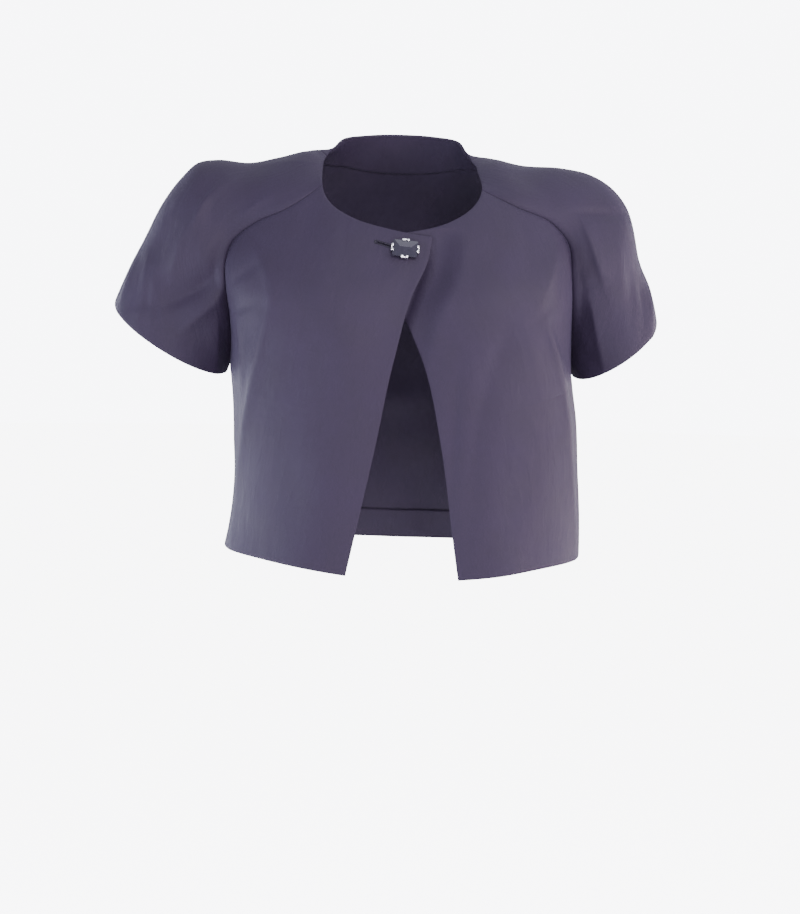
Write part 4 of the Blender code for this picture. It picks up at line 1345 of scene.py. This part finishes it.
stone_shape = flat_block(STONE_WIDTH, STONE_HEIGHT, STONE_GIRDLE, STONE_CORNER)
draw_in(stone_shape, 1, STONE_CROWN, STONE_RIDGE / STONE_WIDTH, STONE_RIDGE_WIDTH / STONE_HEIGHT)
draw_in(stone_shape, -1, STONE_BACK, 1 - STONE_TAPER / STONE_WIDTH, 1 - STONE_TAPER / STONE_HEIGHT)
soften(stone_shape, GROUND_EDGE, segments=1)
bmesh.ops.recalc_face_normals(stone_shape, faces=stone_shape.faces)
bmesh.ops.transform(stone_shape, matrix=button_frame, verts=stone_shape.verts)
pieces["button_stone"] = finish_piece("cut_stone", stone_shape, glass)
pieces["button_stone"].data.set_sharp_from_angle(angle=math.radians(FACET_ANGLE))
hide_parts("button_stone")
print("stone:", len(pieces["button_stone"].data.polygons), "faces")

# %% [markdown]
# Silver plated brass
#
# The tray, claws and shank are stamped from brass and silver plated, then tumbled bright. Plated metal keeps the
# default index and is fully metallic, with a low roughness that tumbling leaves a little uneven, so it mirrors the
# room in soft patches. Its scuffs are 0.8 mm and less.

# %% The metal's finish
SCUFF_STEP = 0.8  # mm

silver, tree, shader = start_material("silver_plated_brass", Metallic=1.0)
place = add_node(tree, "ShaderNodeTexCoord")
scuffs = add_node(
    tree,
    "ShaderNodeTexNoise",
    (("Vector", place.outputs["Object"]), ("Scale", 1 / (SCUFF_STEP * MM)), ("Detail", 4.0)),
)
plating = add_node(
    tree,
    "ShaderNodeMix",
    (("Factor", scuffs.outputs["Fac"]), (6, linear("dcdce0")), (7, linear("f6f6f8"))),
    data_type="RGBA",
)
brightness = add_node(
    tree, "ShaderNodeMapRange", (("Value", scuffs.outputs["Fac"]), ("To Min", 0.14), ("To Max", 0.3))
)
scuff_bump = add_node(
    tree, "ShaderNodeBump", (("Height", scuffs.outputs["Fac"]), ("Strength", 0.15), ("Distance", 0.03 * MM))
)
tree.links.new(plating.outputs["Result"], shader.inputs["Base Color"])
tree.links.new(brightness.outputs["Result"], shader.inputs["Roughness"])
tree.links.new(scuff_bump.outputs["Normal"], shader.inputs["Normal"])
print("silver has", len(tree.nodes), "nodes")

# %% [markdown]
# The tray
#
# The stone sits in a stamped tray, a little smaller than the stone, so that it shows from behind alone. It starts
# as the same clipped block, and its edges are rounded as stamping leaves them.

# %% Make the tray
TRAY_THICKNESS, TRAY_MARGIN, TRAY_ROUND = 1.0, 2.4, 0.25
METAL_GAP = 0.3

tray_front = -STONE_BACK - STONE_GIRDLE / 2 - METAL_GAP
tray_back = tray_front - TRAY_THICKNESS
tray_middle = (tray_front + tray_back) / 2
tray_shape = flat_block(
    STONE_WIDTH - TRAY_MARGIN, STONE_HEIGHT - TRAY_MARGIN, TRAY_THICKNESS, STONE_CORNER, middle=tray_middle
)
soften(tray_shape, TRAY_ROUND)
bmesh.ops.recalc_face_normals(tray_shape, faces=tray_shape.faces)
bmesh.ops.transform(tray_shape, matrix=button_frame, verts=tray_shape.verts)
pieces["button_setting"] = finish_piece("stamped_tray", tray_shape, silver)
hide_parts("button_setting")
print("tray:", len(pieces["button_setting"].data.polygons), "faces")

# %% [markdown]
# The claws
#
# Four claws hold the stone, one at the middle of each side. Each is a strap with two prongs bent in over the stone.
# It starts as a grid of three faces side by side: extruded, it is the strap, and its two outer faces are extruded
# again for the prongs. The shank behind keeps its solid and takes the same silver.

# %% Bend the claws
CLAW_WIRE, CLAW_SPREAD, CLAW_HEIGHT, CLAW_REACH, CLAW_LIFT = 1.1, 7.0, 1.2, 1.1, 0.6
CLAW_ROUND = 0.2


def shape_claw(out):
    """One claw, at the right of a stone whose side is out from its middle."""
    claw = bmesh.new()
    bmesh.ops.create_grid(claw, x_segments=1, y_segments=3, size=0.5)
    size = Matrix.Diagonal((CLAW_WIRE, CLAW_SPREAD, 1, 1))
    bmesh.ops.transform(claw, matrix=Matrix.Translation((out, 0, tray_back)) @ size, verts=claw.verts)
    strap = bmesh.ops.extrude_face_region(claw, geom=claw.faces[:], use_keep_orig=True)["geom"]
    upper = [part for part in strap if isinstance(part, bmesh.types.BMVert)]
    bmesh.ops.translate(claw, vec=(0, 0, CLAW_HEIGHT - tray_back), verts=upper)
    ends = [part for part in strap if isinstance(part, bmesh.types.BMFace)]
    ends = [face for face in ends if abs(face.calc_center_median().y) > CLAW_SPREAD / 6]
    prongs = bmesh.ops.extrude_face_region(claw, geom=ends)["geom"]
    tips = [part for part in prongs if isinstance(part, bmesh.types.BMVert)]
    bmesh.ops.delete(claw, geom=ends, context="FACES_ONLY")
    bmesh.ops.translate(claw, vec=(-CLAW_REACH, 0, CLAW_LIFT), verts=tips)
    bmesh.ops.recalc_face_normals(claw, faces=claw.faces)
    return claw


half_width, half_height = STONE_WIDTH / 2, STONE_HEIGHT / 2
around = (("right", half_width), ("top", half_height), ("left", half_width), ("bottom", half_height))
for quarter, (name, half) in enumerate(around):
    claw = shape_claw(half + METAL_GAP + CLAW_WIRE / 2)
    soften(claw, CLAW_ROUND)
    turned = button_frame @ Matrix.Rotation(quarter * math.pi / 2, 4, "Z")
    bmesh.ops.transform(claw, matrix=turned, verts=claw.verts)
    node = "claw_" + name
    pieces[node] = finish_piece("bent_" + node, claw, silver)
    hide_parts(node)
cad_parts["button_shank"].material_slots[0].material = silver
print("claws:", [name for name in pieces if name.startswith("claw")])

# %% [markdown]
# Cut sizes of the cloth
#
# Each cloth piece was cut flat before it was sewn. The table gives the box that it was cut from, its longest row
# by its longest column, and its flat area, which is less, because the panels are curved and tapered. Only what
# shows is counted, without what is turned under. The table also lists the stitches, hems, facings and seam
# allowances that are sewn to each piece. The loop below measures the same sizes on each grid and prints them.

CUTS = {
    # width and length in metres, area in square metres, the strips on it
    "front_right": (
        0.235, 0.425, 0.072,
        ("front_right_edge_facing", "front_right_hem_turnup", "buttonhole_stitches", "side_allowance_right"),
    ),
    "front_left": (
        0.225, 0.430, 0.071, ("front_left_edge_facing", "front_left_hem_turnup", "side_allowance_left"),
    ),
    "back": (0.440, 0.485, 0.152, ("back_neck_facing", "back_hem_turnup")),
    "sleeve_right": (
        0.390, 0.310, 0.060,
        (
            "sleeve_right_hem_turnup", "sleeve_allowance_right", "raglan_front_allowance_right",
            "raglan_back_allowance_right",
        ),
    ),
    "sleeve_left": (
        0.345, 0.310, 0.054,
        (
            "sleeve_left_hem_turnup", "sleeve_allowance_left", "raglan_front_allowance_left",
            "raglan_back_allowance_left",
        ),
    ),
}


def cloth_area(grid):
    """The area of a grid of points in square metres."""
    one = np.cross(grid[1:, 1:] - grid[:-1, :-1], grid[:-1, 1:] - grid[1:, :-1])
    return float(np.linalg.norm(one, axis=-1).sum() / 2) * MM * MM


for name, (width, length, area, strips) in CUTS.items():
    grid = grids[name]
    wide = distances(grid, 1)[0][:, -1].max() * MM
    long = distances(grid, 0)[0][-1].max() * MM
    print(name, "measures", round(wide, 3), "by", round(long, 3), "m, area", round(cloth_area(grid), 4))

# %% [markdown]
# Floor and light
#
# The jacket was shown in a white studio. The floor is a pale disc at the height where a wearer of about 1.6 m would
# stand, and the background is a pale world. Lit for real, walls as white as that would wash out the folds, so the
# world lights the cloth by 0.9 and the camera alone sees it at 8.5, where it looks white. The floor glows likewise.

# %% The stage
FLOOR_HEIGHT, FLOOR_RADIUS, FLOOR_EDGES = -1.32, 9, 96
ROOM_LIGHT, GLOW_SEEN = 0.9, 8.5

paint, tree, shader = start_material("pale_floor_paint", Base_Color=linear("f4f4f6"), Roughness=0.8)
seen = add_node(tree, "ShaderNodeLightPath")
glow = add_node(
    tree, "ShaderNodeMath", ((0, seen.outputs["Is Camera Ray"]), (1, GLOW_SEEN - 1)), operation="MULTIPLY"
)
tree.links.new(glow.outputs["Value"], shader.inputs["Emission Strength"])
shader.inputs["Emission Color"].default_value = linear("f8f8fb")
floor_shape = bmesh.new()
bmesh.ops.create_circle(floor_shape, cap_ends=True, segments=FLOOR_EDGES, radius=FLOOR_RADIUS)
bmesh.ops.translate(floor_shape, vec=(0, 0, FLOOR_HEIGHT), verts=floor_shape.verts)
floor_mesh = bpy.data.meshes.new("floor")
floor_shape.to_mesh(floor_mesh)
floor_shape.free()
floor_mesh.materials.append(paint)
floor = bpy.data.objects.new("floor", floor_mesh)
scene.collection.objects.link(floor)

world = bpy.data.worlds.new("pale_studio")
world.use_nodes = True
sky = world.node_tree.nodes["Background"]
sky.inputs["Color"].default_value = linear("f8f9ff")
seen = add_node(world.node_tree, "ShaderNodeLightPath")
brightness = add_node(
    world.node_tree,
    "ShaderNodeMapRange",
    (("Value", seen.outputs["Is Camera Ray"]), ("To Min", ROOM_LIGHT), ("To Max", GLOW_SEEN)),
)
world.node_tree.links.new(brightness.outputs["Result"], sky.inputs["Strength"])
scene.world = world
print("floor at", FLOOR_HEIGHT, "m")

# %% [markdown]
# Softboxes
#
# Large soft lights stand all round the jacket, so its front is lit evenly and only what faces the sides shines. Two
# are before the wearer, a high and a low one, two at the front corners, two at the sides and two weaker ones
# behind, and one hangs above. Area lights are used, because a softbox is one: a wide, even sheet of light.

# %% Hang the softboxes
LIT_SPOT = Vector((0, 0, -0.2))
LIGHTS = (
    # name, place in metres, width, height, watts, colour
    ("softbox_right_of_wearer", (-1.9, -0.1, -0.7), 0.5, 1.0, 42, "e4e8fb"),
    ("softbox_left_of_wearer", (1.9, -0.1, -0.45), 0.5, 1.2, 38, "ffeef6"),
    ("softbox_behind_right", (-1.7, 1.3, -0.4), 0.5, 1.2, 26, "e4e8fb"),
    ("softbox_behind_left", (1.7, 1.3, -0.4), 0.5, 1.2, 18, "ffeef6"),
    ("softbox_front_corner_right", (-1.8, -1.3, 0.3), 0.4, 0.9, 20, "f0f0ff"),
    ("softbox_front_corner_left", (1.8, -1.3, 0.3), 0.4, 0.9, 24, "fff0f0"),
    ("softbox_before_high", (0.6, -2.25, 1.0), 1.0, 0.7, 48, "faf2fb"),
    ("softbox_before_low", (0, -2.4, -0.9), 1.2, 0.6, 26, "f8f0fc"),
    ("softbox_above_wearer", (0.7, -0.2, 1.55), 2.4, 2.0, 26, "f0f0ff"),
)
for name, place, width, height, watts, colour in LIGHTS:
    light = bpy.data.lights.new(name, "AREA")
    light.shape = "RECTANGLE"
    light.size, light.size_y = width, height
    light.energy = watts
    light.color = linear(colour)[:3]
    lamp = bpy.data.objects.new(name, light)
    lamp.location = place
    lamp.rotation_mode = "QUATERNION"
    lamp.rotation_quaternion = (LIT_SPOT - Vector(place)).to_track_quat("-Z", "Y")
    scene.collection.objects.link(lamp)
print("lights:", ", ".join(row[0] for row in LIGHTS))
